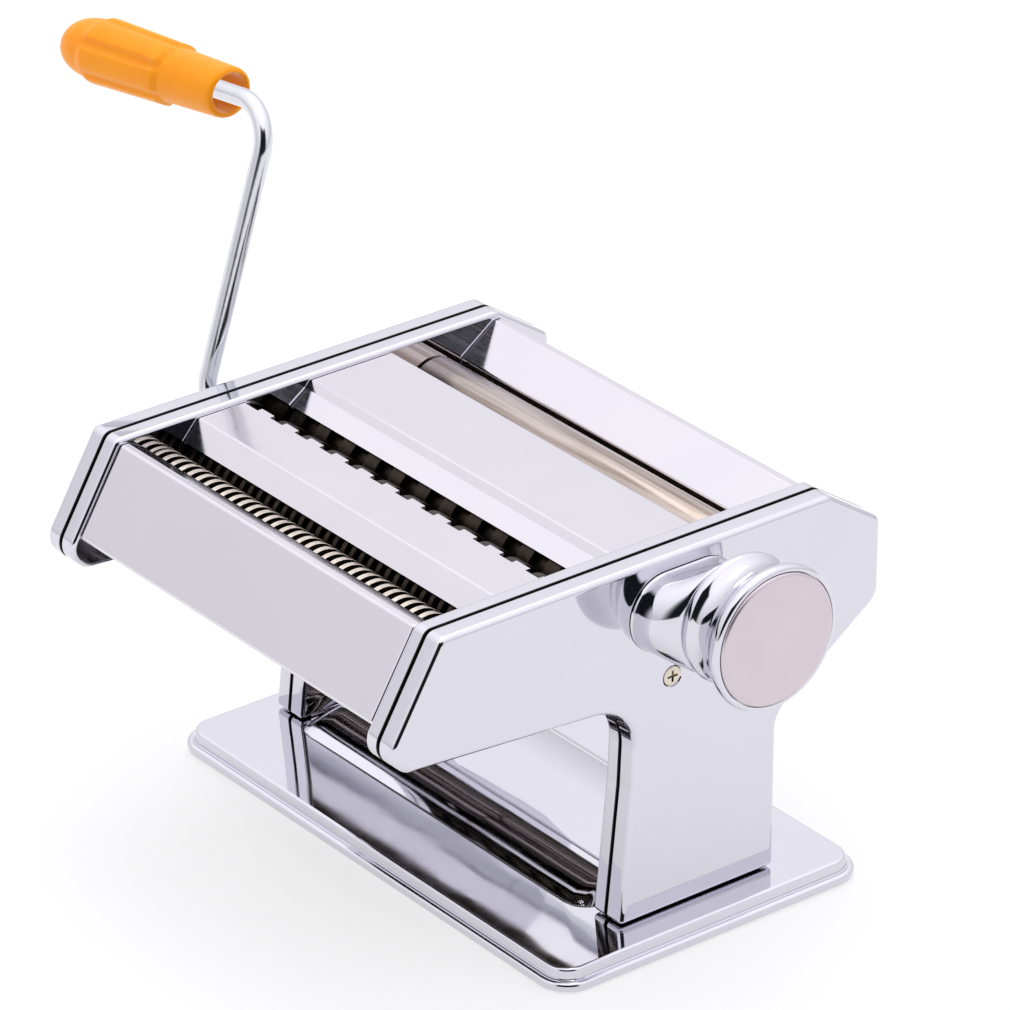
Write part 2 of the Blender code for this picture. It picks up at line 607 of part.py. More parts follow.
def make_boss():
    """Hollow boss that carries the spindle out: oblong at the cover and round behind the knob."""
    def stadium(share, sheet_in):
        radius = BOSS_R + (BOSS_ROUND_R - BOSS_R) * share - sheet_in
        front_y = BOSS_FRONT_Y + (KNOB_Y - 1.0 - BOSS_FRONT_Y) * share
        points = []
        for centre, start in ((front_y, 90.0), (KNOB_Y, 270.0)):
            for k in range(9):
                turn = math.radians(start + 180.0 * k / 8)
                points.append((centre + radius * math.cos(turn), KNOB_Z + radius * math.sin(turn)))
        return points
    loops = []
    length = BOSS_FACE_X - COVER_FACE_X - GAP
    for sheet_in, reach in ((2.4, length - 2.0), (2.0, 0.0), (0.0, 0.0), (0.0, length - 1.0), (1.0, length)):
        loops.append([(COVER_FACE_X + GAP + reach, y, z) for y, z in stadium(reach / length, sheet_in)])
    boss = add_object("regulator_boss", stack(loops), CHROME, smooth=35)
    hole("cut_boss_bore", boss, (KNOB_Y, KNOB_Z), 4.4, BOSS_FACE_X - 4.0, BOSS_FACE_X + 2.0, 16)


def make_spindle():
    """Regulator spindle: end head, shaft, collar inside the cover and an eccentric pin."""
    axis = (KNOB_Y, KNOB_Z)
    profile = ((84.8, 6.0), (87.4, 6.0), (87.4, 4.0), (118.2, 4.0), (118.2, 7.2), (120.2, 7.2))
    spindle = add_object("regulator_spindle", lathe(axis, profile, 16), SCREW_STEEL, (0.0, KNOB_Y, KNOB_Z), smooth=35)
    pin = add_object("join_pin", lathe((KNOB_Y + ECCENTRICITY, KNOB_Z), ((81.6, PIN_R), (85.6, PIN_R)), 12), SCREW_STEEL)
    boolean(spindle, pin, "UNION")


def make_knob():
    """Spool-shaped thickness knob, pulled out against a spring to turn it; a flat dial closes it."""
    axis = (KNOB_Y, KNOB_Z)
    origin = (0.0, KNOB_Y, KNOB_Z)
    profile = [(KNOB_BACK_X, 4.3), (110.4, 4.3), (110.4, 8.0), (123.8, 8.0), (123.8, 22.3), (124.9, 22.4), (124.6, 23.4),
               (123.6, KNOB_R), (121.4, 23.8), (118.4, 21.2), (114.8, 19.4), (111.2, 19.2), (108.8, 20.6), (107.6, 21.4),
               (106.2, 21.4), (KNOB_BACK_X, 20.8)]
    knob = add_object("regulator_knob", lathe(axis, profile, 24, closed=True), CHROME, origin, smooth=35)
    dial = [(124.1, 22.0), (KNOB_FRONT_X - 0.5, 22.0), (KNOB_FRONT_X, 21.2)]
    add_object("knob_dial", lathe(axis, dial, 24), DIAL_ALUMINIUM, origin, smooth=35)
    direction = Vector((0.0, math.cos(math.radians(228)), math.sin(math.radians(228))))
    centre = Vector((112.6, KNOB_Y, KNOB_Z))
    for name, radius, start, end in (("cut_set_screw", 1.9, 11.6, 23.0), ("knob_set_screw", 1.6, 12.0, 19.0)):
        loops = []
        side = direction.cross(Vector((1.0, 0.0, 0.0)))
        for reach in (start, end):
            loops.append([tuple(centre + direction * reach + Vector((1.0, 0.0, 0.0)) * radius * math.cos(math.pi * i / 5)
                                + side * radius * math.sin(math.pi * i / 5)) for i in range(10)])
        tool = add_object(name, stack(loops), SCREW_STEEL, origin)
        if name.startswith("cut"):
            boolean(knob, tool, "DIFFERENCE")


def make_spring():
    """Open coil between the knob's inner shoulder and the spindle's head."""
    wire, mean, turns, steps = 0.5, 5.6, 3.5, 8
    start, end = 110.4 + GAP + wire, 118.2 - GAP - wire
    loops = []
    for k in range(int(turns * steps) + 1):
        angle = 2 * math.pi * k / steps
        x = start + (end - start) * k / (turns * steps)
        outward = Vector((0.0, math.cos(angle), math.sin(angle)))
        centre = Vector((x, KNOB_Y, KNOB_Z)) + outward * mean
        loops.append([tuple(centre + outward * wire * math.cos(math.pi * i / 2.5)
                            + Vector((1.0, 0.0, 0.0)) * wire * math.sin(math.pi * i / 2.5)) for i in range(5)])
    add_object("knob_spring", stack(loops), SPRING_STEEL, (0.0, KNOB_Y, KNOB_Z), smooth=50)


def crank_points():
    """Corner points of the bar: tip, lower bend, upper bend and the end inside the grip."""
    corner = Vector((ARM_X, CRANK_Y, CRANK_Z))
    arm = Vector((0.0, math.sin(ARM_LEAN), math.cos(ARM_LEAN)))
    grip = -Vector((1.0, 0.0, 0.0)) * math.cos(GRIP_DROOP) - arm * math.sin(GRIP_DROOP)
    top = corner + arm * ARM_LENGTH
    return corner, arm, top, grip


def bend(corner, towards, away, radius, steps):
    """Centre-line points of a bend at a corner."""
    half = towards.angle(away) / 2
    centre = corner + (towards + away).normalized() * radius / math.sin(half)
    start = corner + towards * radius / math.tan(half) - centre
    end = corner + away * radius / math.tan(half) - centre
    return [centre + start.slerp(end, k / steps) * radius for k in range(steps + 1)]


def make_crank():
    """Bent bar whose hexagonal tip plugs into a roller socket."""
    corner, arm, top, grip = crank_points()
    inward = Vector((1.0, 0.0, 0.0))
    path = [Vector((ROD_TIP_X, CRANK_Y, CRANK_Z)), Vector((-88.0, CRANK_Y, CRANK_Z)), Vector((-88.6, CRANK_Y, CRANK_Z))]
    path += bend(corner, inward, arm, LOWER_BEND_R, 5)
    path += bend(top, -arm, grip, UPPER_BEND_R, 5)
    path.append(top + grip * (GRIP_END - 12.0))
    flat = inward.cross(arm)
    loops = []
    for i, point in enumerate(path):
        before = point - path[i - 1] if i else path[1] - point
        after = path[i + 1] - point if i + 1 < len(path) else point - path[i - 1]
        along = (before.normalized() + after.normalized()).normalized()
        across = flat.cross(along).normalized()
        loop = []
        for k in range(12):
            turn = math.pi * k / 6
            radius = ROD_R
            if i < 2:
                radius = HEX_FLAT_R if k % 2 else HEX_FLAT_R / math.cos(math.pi / 6)
            loop.append(tuple(point + (flat * math.cos(turn) + across * math.sin(turn)) * radius))
        loops.append(loop)
    add_object("crank_rod", stack(loops), ROD_STEEL, (0.0, CRANK_Y, CRANK_Z), smooth=40)


def make_grip():
    """Hollow orange grip with raised ribs over its outer part; it spins on the bar."""
    corner, arm, top, grip = crank_points()
    side = grip.cross(arm)
    length = GRIP_END - GRIP_START
    profile = [(0.0, 6.7), (14.0, 6.5), (22.0, ROD_R + 0.35), (length - 11.6, ROD_R + 0.35)]
    hollow = len(profile)
    profile = profile[::-1]
    profile += [(0.0, 8.6), (26.5, 9.3), (28.0, 10.2), (68.0, 10.6), (72.0, 10.0), (80.0, 8.8), (85.5, 5.6), (length, 2.0)]
    loops = []
    for number, (reach, radius) in enumerate(profile):
        loop = []
        for k in range(24):
            rib = 1.0 if number in (hollow + 2, hollow + 3) and k % 4 in (0, 1) else 0.0
            turn = 2 * math.pi * k / 24
            loop.append(tuple(top + grip * (GRIP_START + reach)
                              + (side * math.cos(turn) + arm * math.sin(turn)) * (radius + rib * 0.5)))
        loops.append(loop)
    add_object("crank_grip", stack(loops), ORANGE_PLASTIC, tuple(top), smooth=35)


make_base()
make_feet()
make_base_screws()
for side_sign, side_label in ((-1, "left"), (1, "right")):
    make_side_frame(side_sign, side_label)
    make_side_cover(side_sign, side_label)
    make_cover_screw(side_sign, side_label)
make_tie_rods()
make_sheet_parts()
make_rollers()
make_gears()
make_combs()
make_scrapers()
make_adjuster_blocks()
make_boss()
make_spindle()
make_knob()
make_spring()
make_crank()
make_grip()

for obj in bpy.context.scene.collection.objects:
    obj.location -= Vector((BOX_CENTRE_X, BOX_CENTRE_Y, 0.0)) * MM
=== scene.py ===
"""Looks of a hand-cranked pasta roller machine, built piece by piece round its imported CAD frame."""
import json
import math

import bmesh
import bpy
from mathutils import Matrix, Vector

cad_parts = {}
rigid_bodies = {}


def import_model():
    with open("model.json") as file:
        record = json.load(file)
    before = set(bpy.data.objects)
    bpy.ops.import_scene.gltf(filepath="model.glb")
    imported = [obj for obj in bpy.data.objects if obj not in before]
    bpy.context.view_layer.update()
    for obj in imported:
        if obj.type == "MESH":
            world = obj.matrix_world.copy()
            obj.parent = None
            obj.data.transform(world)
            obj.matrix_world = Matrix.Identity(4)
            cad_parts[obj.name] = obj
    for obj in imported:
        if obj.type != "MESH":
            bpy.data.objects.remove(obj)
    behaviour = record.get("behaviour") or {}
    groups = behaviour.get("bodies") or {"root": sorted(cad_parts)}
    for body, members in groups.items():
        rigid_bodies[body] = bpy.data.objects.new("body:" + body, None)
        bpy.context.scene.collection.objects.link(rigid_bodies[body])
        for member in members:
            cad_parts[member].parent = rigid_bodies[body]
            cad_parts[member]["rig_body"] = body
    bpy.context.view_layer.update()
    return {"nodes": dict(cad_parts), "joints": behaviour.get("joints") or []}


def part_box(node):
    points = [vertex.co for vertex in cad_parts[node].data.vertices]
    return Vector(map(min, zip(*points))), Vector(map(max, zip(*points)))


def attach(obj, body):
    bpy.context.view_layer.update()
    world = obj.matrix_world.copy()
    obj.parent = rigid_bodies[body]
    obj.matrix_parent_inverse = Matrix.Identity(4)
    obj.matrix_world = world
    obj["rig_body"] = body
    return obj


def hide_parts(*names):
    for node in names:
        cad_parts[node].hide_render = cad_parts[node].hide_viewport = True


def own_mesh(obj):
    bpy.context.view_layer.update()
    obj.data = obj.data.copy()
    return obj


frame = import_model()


# ---------------------------------------------------------------------------------------------------------------
# Studio. The machine stands on a white table inside a white light tent. The tent is open where the camera
# looks in, and that dark opening is what draws the black lines in polished metal.
def linear_colour(code):
    """sRGB hex to linear RGBA."""
    channels = [int(code[i:i + 2], 16) / 255 for i in (0, 2, 4)]
    return [c / 12.92 if c < 0.04045 else ((c + 0.055) / 1.055) ** 2.4 for c in channels] + [1.0]


def add_node(tree, kind, inputs=None, **properties):
    """Adds one node; an input takes a value, or the output socket that feeds it."""
    node = tree.nodes.new(kind)
    for name, value in properties.items():
        setattr(node, name, value)
    for name, value in (inputs or {}).items():
        if isinstance(value, bpy.types.NodeSocket):
            tree.links.new(value, node.inputs[name])
        else:
            node.inputs[name].default_value = value
    return node


camera = bpy.data.objects.new("camera", bpy.data.cameras.new("camera"))
bpy.context.scene.collection.objects.link(camera)
camera.location = (1.52221, -1.14361, 1.08360)
camera.rotation_euler = (1.0930293, -0.0017491, 0.9056662)
camera.data.lens = 240.35
camera.data.sensor_width = 36.0
bpy.context.scene.camera = camera
bpy.context.scene.view_settings.view_transform = "Standard"

TENT_LIGHT = 1.17
OPENING_AZIMUTH = Vector((0.80, -0.60))
tent = bpy.data.worlds.new("white_light_tent")
tent.use_nodes = True
tent.node_tree.nodes.clear()
tree = tent.node_tree
towards = add_node(tree, "ShaderNodeTexCoord").outputs["Generated"]
sky = add_node(tree, "ShaderNodeSeparateXYZ", {"Vector": towards})
flat = add_node(tree, "ShaderNodeVectorMath", {0: towards, 1: (1.0, 1.0, 0.0)}, operation="MULTIPLY")
heading = add_node(tree, "ShaderNodeVectorMath", {0: flat.outputs[0]}, operation="NORMALIZE")
facing = add_node(tree, "ShaderNodeVectorMath", {0: heading.outputs[0], 1: (*OPENING_AZIMUTH, 0.0)},
                  operation="DOT_PRODUCT")
beside = add_node(tree, "ShaderNodeMapRange", {"Value": facing.outputs["Value"], "From Min": 0.72,
                                               "From Max": 0.90}, interpolation_type="SMOOTHSTEP")
above_sill = add_node(tree, "ShaderNodeMapRange", {"Value": sky.outputs["Z"], "From Min": -0.06,
                                                   "From Max": 0.02}, interpolation_type="SMOOTHSTEP")
below_lintel = add_node(tree, "ShaderNodeMapRange", {"Value": sky.outputs["Z"], "From Min": 0.74,
                                                     "From Max": 0.66}, interpolation_type="SMOOTHSTEP")
tall = add_node(tree, "ShaderNodeMath", {0: above_sill.outputs[0], 1: below_lintel.outputs[0]}, operation="MULTIPLY")
opening = add_node(tree, "ShaderNodeMath", {0: tall.outputs[0], 1: beside.outputs[0]}, operation="MULTIPLY")
wall = add_node(tree, "ShaderNodeMapRange", {"Value": sky.outputs["Z"], "From Min": 0.0, "From Max": 0.9,
                                             "To Min": 0.66, "To Max": 1.24})
cloth = add_node(tree, "ShaderNodeVectorMath", {0: linear_colour("FCFBFF")[:3], 3: wall.outputs[0]},
                 operation="SCALE")
seen = add_node(tree, "ShaderNodeMix", {0: opening.outputs[0], 6: cloth.outputs[0], 7: linear_colour("1A1C20")},
                data_type="RGBA")
glow = add_node(tree, "ShaderNodeBackground", {"Color": seen.outputs[2], "Strength": TENT_LIGHT})
add_node(tree, "ShaderNodeOutputWorld", {"Surface": glow.outputs[0]})
bpy.context.scene.world = tent

lamp = bpy.data.objects.new("overhead_softbox", bpy.data.lights.new("overhead_softbox", "AREA"))
bpy.context.scene.collection.objects.link(lamp)
lamp.data.size = 0.9
lamp.data.energy = 4.0
lamp.location = (-0.35, 0.35, 1.5)
lamp.rotation_euler = (Vector((0.0, 0.0, 0.1)) - lamp.location).to_track_quat("-Z", "Y").to_euler()


def new_finish(name):
    """An empty finish: its tree, its shader and its pattern coordinates in millimetres."""
    finish = bpy.data.materials.new(name)
    finish.use_nodes = True
    nodes = finish.node_tree.nodes
    shader = nodes["Principled BSDF"]
    place = add_node(finish.node_tree, "ShaderNodeTexCoord")
    scale = add_node(finish.node_tree, "ShaderNodeVectorMath", {0: place.outputs["Object"], 3: 1000.0},
                     operation="SCALE")
    return finish, finish.node_tree, shader, scale.outputs[0]


# White acrylic sheet lit softly from below, so that it stays white and keeps only a faint shadow near the feet.
acrylic, tree, shader, mm = new_finish("backlit_white_acrylic")
clouding = add_node(tree, "ShaderNodeTexNoise", {"Vector": mm, "Scale": 1 / 3.0, "Detail": 3.0})
shade = add_node(tree, "ShaderNodeMix", {0: clouding.outputs[0], 6: linear_colour("9E9E9F"),
                                         7: linear_colour("A2A2A3")}, data_type="RGBA")
shader.inputs["Emission Color"].default_value = linear_colour("FFFFFF")
shader.inputs["Emission Strength"].default_value = 0.64
tree.links.new(shade.outputs[2], shader.inputs["Base Color"])
shader.inputs["Roughness"].default_value = 0.9
shader.inputs["Specular IOR Level"].default_value = 0.2
TABLE_HALF = 4.0
table_corners = [(TABLE_HALF * sx, TABLE_HALF * sy, 0.0) for sx, sy in ((-1, -1), (1, -1), (1, 1), (-1, 1))]
table_mesh = bpy.data.meshes.new("acrylic_table")
table_mesh.from_pydata(table_corners, [], [(0, 1, 2, 3)])
table_mesh.materials.append(acrylic)
table = bpy.data.objects.new("acrylic_table", table_mesh)
bpy.context.scene.collection.objects.link(table)


# ---------------------------------------------------------------------------------------------------------------
# Base. One sheet of steel pressed into a shallow tray: a rolled outer bead, a groove, a short wall and a flat
# platform with a low arched hump between the legs. It is polished and nickel-chrome plated, so it mirrors the
# machine above it.
BASE_X, BASE_Y, BASE_RADIUS = 203.4, 124.0, 11.0
BASE_MIDDLE = (1.3, -1.3)
BASE_TOP = 7.5
BASE_PROFILE = [(5.2, 6.0), (4.4, 5.6), (3.9, 4.9), (3.7, 2.9), (2.4, 2.6), (1.5, 2.3), (1.2, 1.2), (0.9, 0.85)]

joints = {joint["name"]: joint for joint in frame["joints"]}
MIDDLE_X = (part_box("side_frame_left")[0].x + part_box("side_frame_right")[1].x) / 2
CRANK_Y, CRANK_Z = -43.7, 115.0
MIDDLE = Vector((MIDDLE_X, joints["wide_cutter_turn"]["pos_m"][1] - CRANK_Y / 1000, 0.0))


def arc(centre, radius, start, end, steps):
    """Points on a circle arc, angles in degrees."""
    turns = [math.radians(start + (end - start) * k / steps) for k in range(steps + 1)]
    return [(centre[0] + radius * math.cos(t), centre[1] + radius * math.sin(t)) for t in turns]


def skin(name, loops, finish, sharp=40.0, closed=False):
    """Skins equal loops of points, in millimetres from the machine's middle, into one closed piece."""
    bm = bmesh.new()
    rings = [[bm.verts.new(Vector(point) / 1000 + MIDDLE) for point in loop] for loop in loops]
    count = len(rings[0])
    for first, second in zip(rings, rings[1:] + (rings[:1] if closed else [])):
        for i in range(count):
            j = (i + 1) % count
            bm.faces.new((first[i], first[j], second[j], second[i]))
    if not closed:
        bm.faces.new(rings[0][::-1])
        bm.faces.new(rings[-1])
    if bm.calc_volume(signed=True) < 0.0:
        bmesh.ops.reverse_faces(bm, faces=bm.faces)
    mesh = bpy.data.meshes.new(name)
    bm.to_mesh(mesh)
    bm.free()
    mesh.materials.append(finish)
    piece = bpy.data.objects.new(name, mesh)
    bpy.context.scene.collection.objects.link(piece)
    smooth(piece, sharp)
    return piece


def smooth(piece, sharp):
    piece.data.shade_smooth()
    piece.data.set_sharp_from_angle(angle=math.radians(sharp))


def cut(piece, tools, sharp=40.0, joined=()):
    """Cuts the tools out of a piece, and joins others to it, then clears them away."""
    for tool in list(joined) + list(tools):
        change = piece.modifiers.new(tool.name, "BOOLEAN")
        change.operation = "UNION" if tool in joined else "DIFFERENCE"
        change.object = tool
    bpy.context.view_layer.update()
    cut_mesh = bpy.data.meshes.new_from_object(piece.evaluated_get(bpy.context.evaluated_depsgraph_get()))
    piece.modifiers.clear()
    piece.data = cut_mesh
    for tool in list(joined) + list(tools):
        bpy.data.objects.remove(tool)
    smooth(piece, sharp)


def flatten(piece):
    """Keeps the big pressed faces flat in the shading, so that only the rounded edges bend a reflection."""
    weights = piece.modifiers.new("flat_faces", "WEIGHTED_NORMAL")
    weights.keep_sharp = True
    weights.weight = 100


def stand_for(piece, node):
    """Shows a piece in place of its CAD node, on the same body."""
    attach(piece, frame["nodes"][node]["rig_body"])
    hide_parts(node)


def base_loop(inset, z):
    half_x, half_y = BASE_X / 2 - inset, BASE_Y / 2 - inset
    radius = BASE_RADIUS - inset
    loop = []
    for quarter, (sx, sy) in enumerate(((1, 1), (-1, 1), (-1, -1), (1, -1))):
        centre = (BASE_MIDDLE[0] + sx * (half_x - radius), BASE_MIDDLE[1] + sy * (half_y - radius))
        loop += [(x, y, z) for x, y in arc(centre, radius, 90 * quarter, 90 * quarter + 90, 14)]
    return loop


# Nickel-chrome plate: a mirror with a faint cool cast, slightly wavy from the pressing and hazed by handling.
chrome, tree, shader, mm = new_finish("nickel_chrome_plated_pressed_steel")
shader.inputs["Metallic"].default_value = 1.0
handling = add_node(tree, "ShaderNodeTexNoise", {"Vector": mm, "Scale": 1 / 22.0, "Detail": 4.0, "Roughness": 0.6})
haze = add_node(tree, "ShaderNodeMapRange", {"Value": handling.outputs[0], "From Min": 0.35, "From Max": 0.75,
                                             "To Min": 0.025, "To Max": 0.085})
tree.links.new(haze.outputs[0], shader.inputs["Roughness"])
cast = add_node(tree, "ShaderNodeMix", {0: handling.outputs[0], 6: linear_colour("D9D8E0"),
                                        7: linear_colour("D6D5DD")}, data_type="RGBA")
tree.links.new(cast.outputs[2], shader.inputs["Base Color"])
pressing = add_node(tree, "ShaderNodeTexNoise", {"Vector": mm, "Scale": 1 / 34.0, "Detail": 1.0})
ripple = add_node(tree, "ShaderNodeBump", {"Height": pressing.outputs[0], "Strength": 1.0, "Distance": 1.2e-4})
scratch_place = add_node(tree, "ShaderNodeVectorMath", {0: mm, 1: (0.9, 0.22, 0.22)}, operation="MULTIPLY")
polishing = add_node(tree, "ShaderNodeTexNoise", {"Vector": scratch_place.outputs[0], "Scale": 2.5, "Detail": 2.0})
hairlines = add_node(tree, "ShaderNodeBump", {"Height": polishing.outputs[0], "Strength": 0.4, "Distance": 1.5e-6,
                                              "Normal": ripple.outputs[0]})
tree.links.new(hairlines.outputs[0], shader.inputs["Normal"])

BASE_PROFILE += [(0.3, 0.8)] + [(1.5 + y, 2.3 + z) for y, z in arc((0, 0), 1.5, 180, 90, 7)]
BASE_PROFILE += [(1.9, 3.72), (2.2, 3.62), (2.42, 3.72), (2.52, 4.0), (2.62, 5.0), (2.74, 6.1)]
BASE_PROFILE += [(4.0 + y, BASE_TOP - 1.2 + z) for y, z in arc((0, 0), 1.2, 176, 90, 7)]
base = skin("pressed_base", [base_loop(inset, z) for inset, z in BASE_PROFILE], chrome)

HUMP_HALF, HUMP_RISE, HUMP_END, HUMP_CORNER, HUMP_SLOPE = (75.2, 33.5), 24.0, 6.0, 9.0, math.radians(25.0)


def hump(name, inset, bottom, drop):
    """The arched hump pressed up between the legs, or the hollow under it, drawn as sections along X."""
    half_x = HUMP_HALF[0] - inset
    ends = [HUMP_END * (1 - math.cos(math.radians(t))) + 0.01 for t in range(8, 91, 7)] + [HUMP_CORNER]
    radius = HUMP_RISE / math.sin(HUMP_SLOPE)
    loops = []
    for x in [-half_x + reach for reach in ends] + [half_x - reach for reach in ends[::-1]]:
        past_corner = max(abs(x) - (half_x - HUMP_CORNER), 0.0)
        half_y = HUMP_HALF[1] - inset + math.sqrt(HUMP_CORNER ** 2 - past_corner ** 2) - HUMP_CORNER
        share = math.sqrt(1 - (max(abs(x) - (half_x - HUMP_END), 0.0) / HUMP_END) ** 2)
        rise = [HUMP_RISE * k / 24 for k in range(25)]
        lift = [math.sqrt(radius ** 2 - (HUMP_RISE - r) ** 2) - radius * math.cos(HUMP_SLOPE) for r in rise]
        front = [(x, r - half_y, BASE_TOP - drop + up * share) for r, up in zip(rise, lift)]
        rear = [(x, -y, z) for x, y, z in front[::-1]]
        loops.append([(x, -half_y, bottom)] + front + rear + [(x, half_y, bottom)])
    return skin(name, loops, chrome)


cut(base, [hump("hollow", 1.2, BASE_TOP - 2.4, 1.2)], joined=[hump("hump", 0.0, BASE_TOP - 0.6, 0.0)])
flatten(base)
stand_for(base, "base_plate")


# ---------------------------------------------------------------------------------------------------------------
# Feet and base screws. Four moulded rubber feet are pushed into the tray's underside, and four plated pan-head
# screws come up through it into the legs.
rubber, tree, shader, mm = new_finish("moulded_black_rubber")
shader.inputs["Roughness"].default_value = 0.78
grain = add_node(tree, "ShaderNodeTexNoise", {"Vector": mm, "Scale": 1 / 0.6, "Detail": 3.0})
shade = add_node(tree, "ShaderNodeMix", {0: grain.outputs[0], 6: linear_colour("141415"),
                                         7: linear_colour("242425")}, data_type="RGBA")
tree.links.new(shade.outputs[2], shader.inputs["Base Color"])
pores = add_node(tree, "ShaderNodeBump", {"Height": grain.outputs[0], "Strength": 0.6, "Distance": 3e-5})
tree.links.new(pores.outputs[0], shader.inputs["Normal"])

# Zinc-plated screw steel: bright but softer than the chrome, with a warm cast and fine turning marks.
screw_steel, tree, shader, mm = new_finish("zinc_plated_screw_steel")
shader.inputs["Metallic"].default_value = 1.0
marks = add_node(tree, "ShaderNodeTexNoise", {"Vector": mm, "Scale": 1 / 0.4, "Detail": 3.0})
shade = add_node(tree, "ShaderNodeMix", {0: marks.outputs[0], 6: linear_colour("C8BFAE"),
                                         7: linear_colour("E6DFD2")}, data_type="RGBA")
tree.links.new(shade.outputs[2], shader.inputs["Base Color"])
dull = add_node(tree, "ShaderNodeMapRange", {"Value": marks.outputs[0], "To Min": 0.16, "To Max": 0.36})
tree.links.new(dull.outputs[0], shader.inputs["Roughness"])
turning = add_node(tree, "ShaderNodeBump", {"Height": marks.outputs[0], "Strength": 0.5, "Distance": 8e-6})
tree.links.new(turning.outputs[0], shader.inputs["Normal"])


def finish_node(node, finish, edge):
    """Gives a carried-over CAD node its finish and breaks its sharp edges by a distance in millimetres."""
    part = frame["nodes"][node]
    part.data.materials.clear()
    part.data.materials.append(finish)
    softer = part.modifiers.new("broken_edges", "BEVEL")
    softer.width = edge / 1000
    softer.segments = 2
    softer.limit_method = "ANGLE"
    softer.angle_limit = math.radians(40.0)
    softer.harden_normals = False


for end in ("front", "rear"):
    for hand in ("left", "right"):
        finish_node("rubber_foot_" + end + "_" + hand, rubber, 0.4)
        finish_node("base_screw_" + end + "_" + hand, screw_steel, 0.12)


# ---------------------------------------------------------------------------------------------------------------
# Side frames. An inner pan on each side carries every shaft and stands on the base on a solid foot. It is pressed
# from 1.8 mm steel and chromed, and meets the outer cover at a fine open seam.
SIDE_CORNERS = [(-98.8, 132.4, 3.5), (52.0, 132.4, 5.0), (73.2, 118.2, 3.0), (73.2, 91.0, 7.0), (32.4, 62.0, 10.0),
                (32.4, 8.1, 1.6), (-29.6, 8.1, 1.6), (-25.0, 54.0, 20.0), (-23.6, 84.6, 17.0), (-112.0, 91.0, 6.0),
                (-119.2, 97.6, 7.0)]
FRAME_FACE, SEAM, COVER_FACE = 76.0, 82.4, 89.9
SEAM_GAP = 0.9
PAN_SHEET = 1.8
SMOOTH_Z = 114.0
FINE_Y, WIDE_Y, SMOOTH_Y = (-82.9, -65.5), (-43.7, -25.2), (4.6, 25.3)
DRIVE_SHAFT_R, SHAFT_R, RUNNING_GAP = 5.2, 4.0, 0.3
TIE_RODS = {"tie_rod_front": (-100.5, 108.5), "tie_rod_middle": (-16.5, 99.5), "tie_rod_rear": (60.0, 104.0)}
COVER_SCREW = (-10.1, 90.3)
FOOT_OUTLINE = ((-25.0, 7.8), (28.5, 7.8), (28.5, 18.0), (-25.0, 18.0))


# Painted shade in the seam: the pans' cut edges and the faces inside the seam are painted near-black for the shade in
# the gap.
seam_painted_shade, tree, shader, mm = new_finish("painted_shade_in_the_seam")
shader.inputs["Metallic"].default_value = 0.4
seam_shade_noise = add_node(tree, "ShaderNodeTexNoise", {"Vector": mm, "Scale": 1 / 1.5, "Detail": 3.0})
shade = add_node(tree, "ShaderNodeMix", {0: seam_shade_noise.outputs[0], 6: linear_colour("060606"),
                                         7: linear_colour("17171A")}, data_type="RGBA")
tree.links.new(shade.outputs[2], shader.inputs["Base Color"])
dull = add_node(tree, "ShaderNodeMapRange", {"Value": seam_shade_noise.outputs[0], "To Min": 0.35, "To Max": 0.6})
tree.links.new(dull.outputs[0], shader.inputs["Roughness"])
seam_shade_bump = add_node(tree, "ShaderNodeBump", {"Height": seam_shade_noise.outputs[0], "Strength": 0.4, "Distance": 3e-5})
tree.links.new(seam_shade_bump.outputs[0], shader.inputs["Normal"])


def round_corners(corners, inset=0.0, spacing=0.8):
    """A closed (y, z) outline with an arc at each corner, pulled in by a distance, with the same count each time."""
    sharp_points, points = [Vector(corner[:2]) for corner in corners], []
    moved, hollow = [], []
    for i, here in enumerate(sharp_points):
        back = (here - sharp_points[i - 1]).normalized()
        ahead = (sharp_points[(i + 1) % len(corners)] - here).normalized()
        first, second = Vector((back.y, -back.x)), Vector((ahead.y, -ahead.x))
        middle = (first + second).normalized()
        moved.append(here + middle * inset / middle.dot(first))
        hollow.append(back.x * ahead.y - back.y * ahead.x > 0.0)
    for i, here in enumerate(moved):
        back = (moved[i - 1] - here).normalized()
        ahead = (moved[(i + 1) % len(moved)] - here).normalized()
        radius = max(corners[i][2] + (inset if hollow[i] else -inset), 0.06)
        half = back.angle(ahead) / 2
        centre = here + (back + ahead).normalized() * radius / math.sin(half)
        start = here + back * radius / math.tan(half) - centre
        end = here + ahead * radius / math.tan(half) - centre
        steps = max(5, int(corners[i][2] * (math.pi - 2 * half) / spacing))
        for k in range(steps + 1):
            points.append(tuple(centre + start.slerp(end, k / steps) * radius))
    return points


def turned(name, centre, axis, profile, segments, finish, sharp=40.0, closed=False):
    """Turns (distance along, radius) points round an axis."""
    along = Vector(axis).normalized()
    side = along.orthogonal().normalized()
    across = along.cross(side)
    loops = []
    for distance, radius in profile:
        middle = Vector(centre) + along * distance
        turns = [2 * math.pi * (i + 0.5) / segments for i in range(segments)]
        loops.append([middle + (side * math.cos(t) + across * math.sin(t)) * radius for t in turns])
    return skin(name, loops, finish, sharp, closed)


def drill(place, radius, start, end, segments=32):
    """A cutter for a round hole along X."""
    return turned("drill", (0.0, *place), (1, 0, 0), ((start, radius), (end, radius)), segments, chrome)


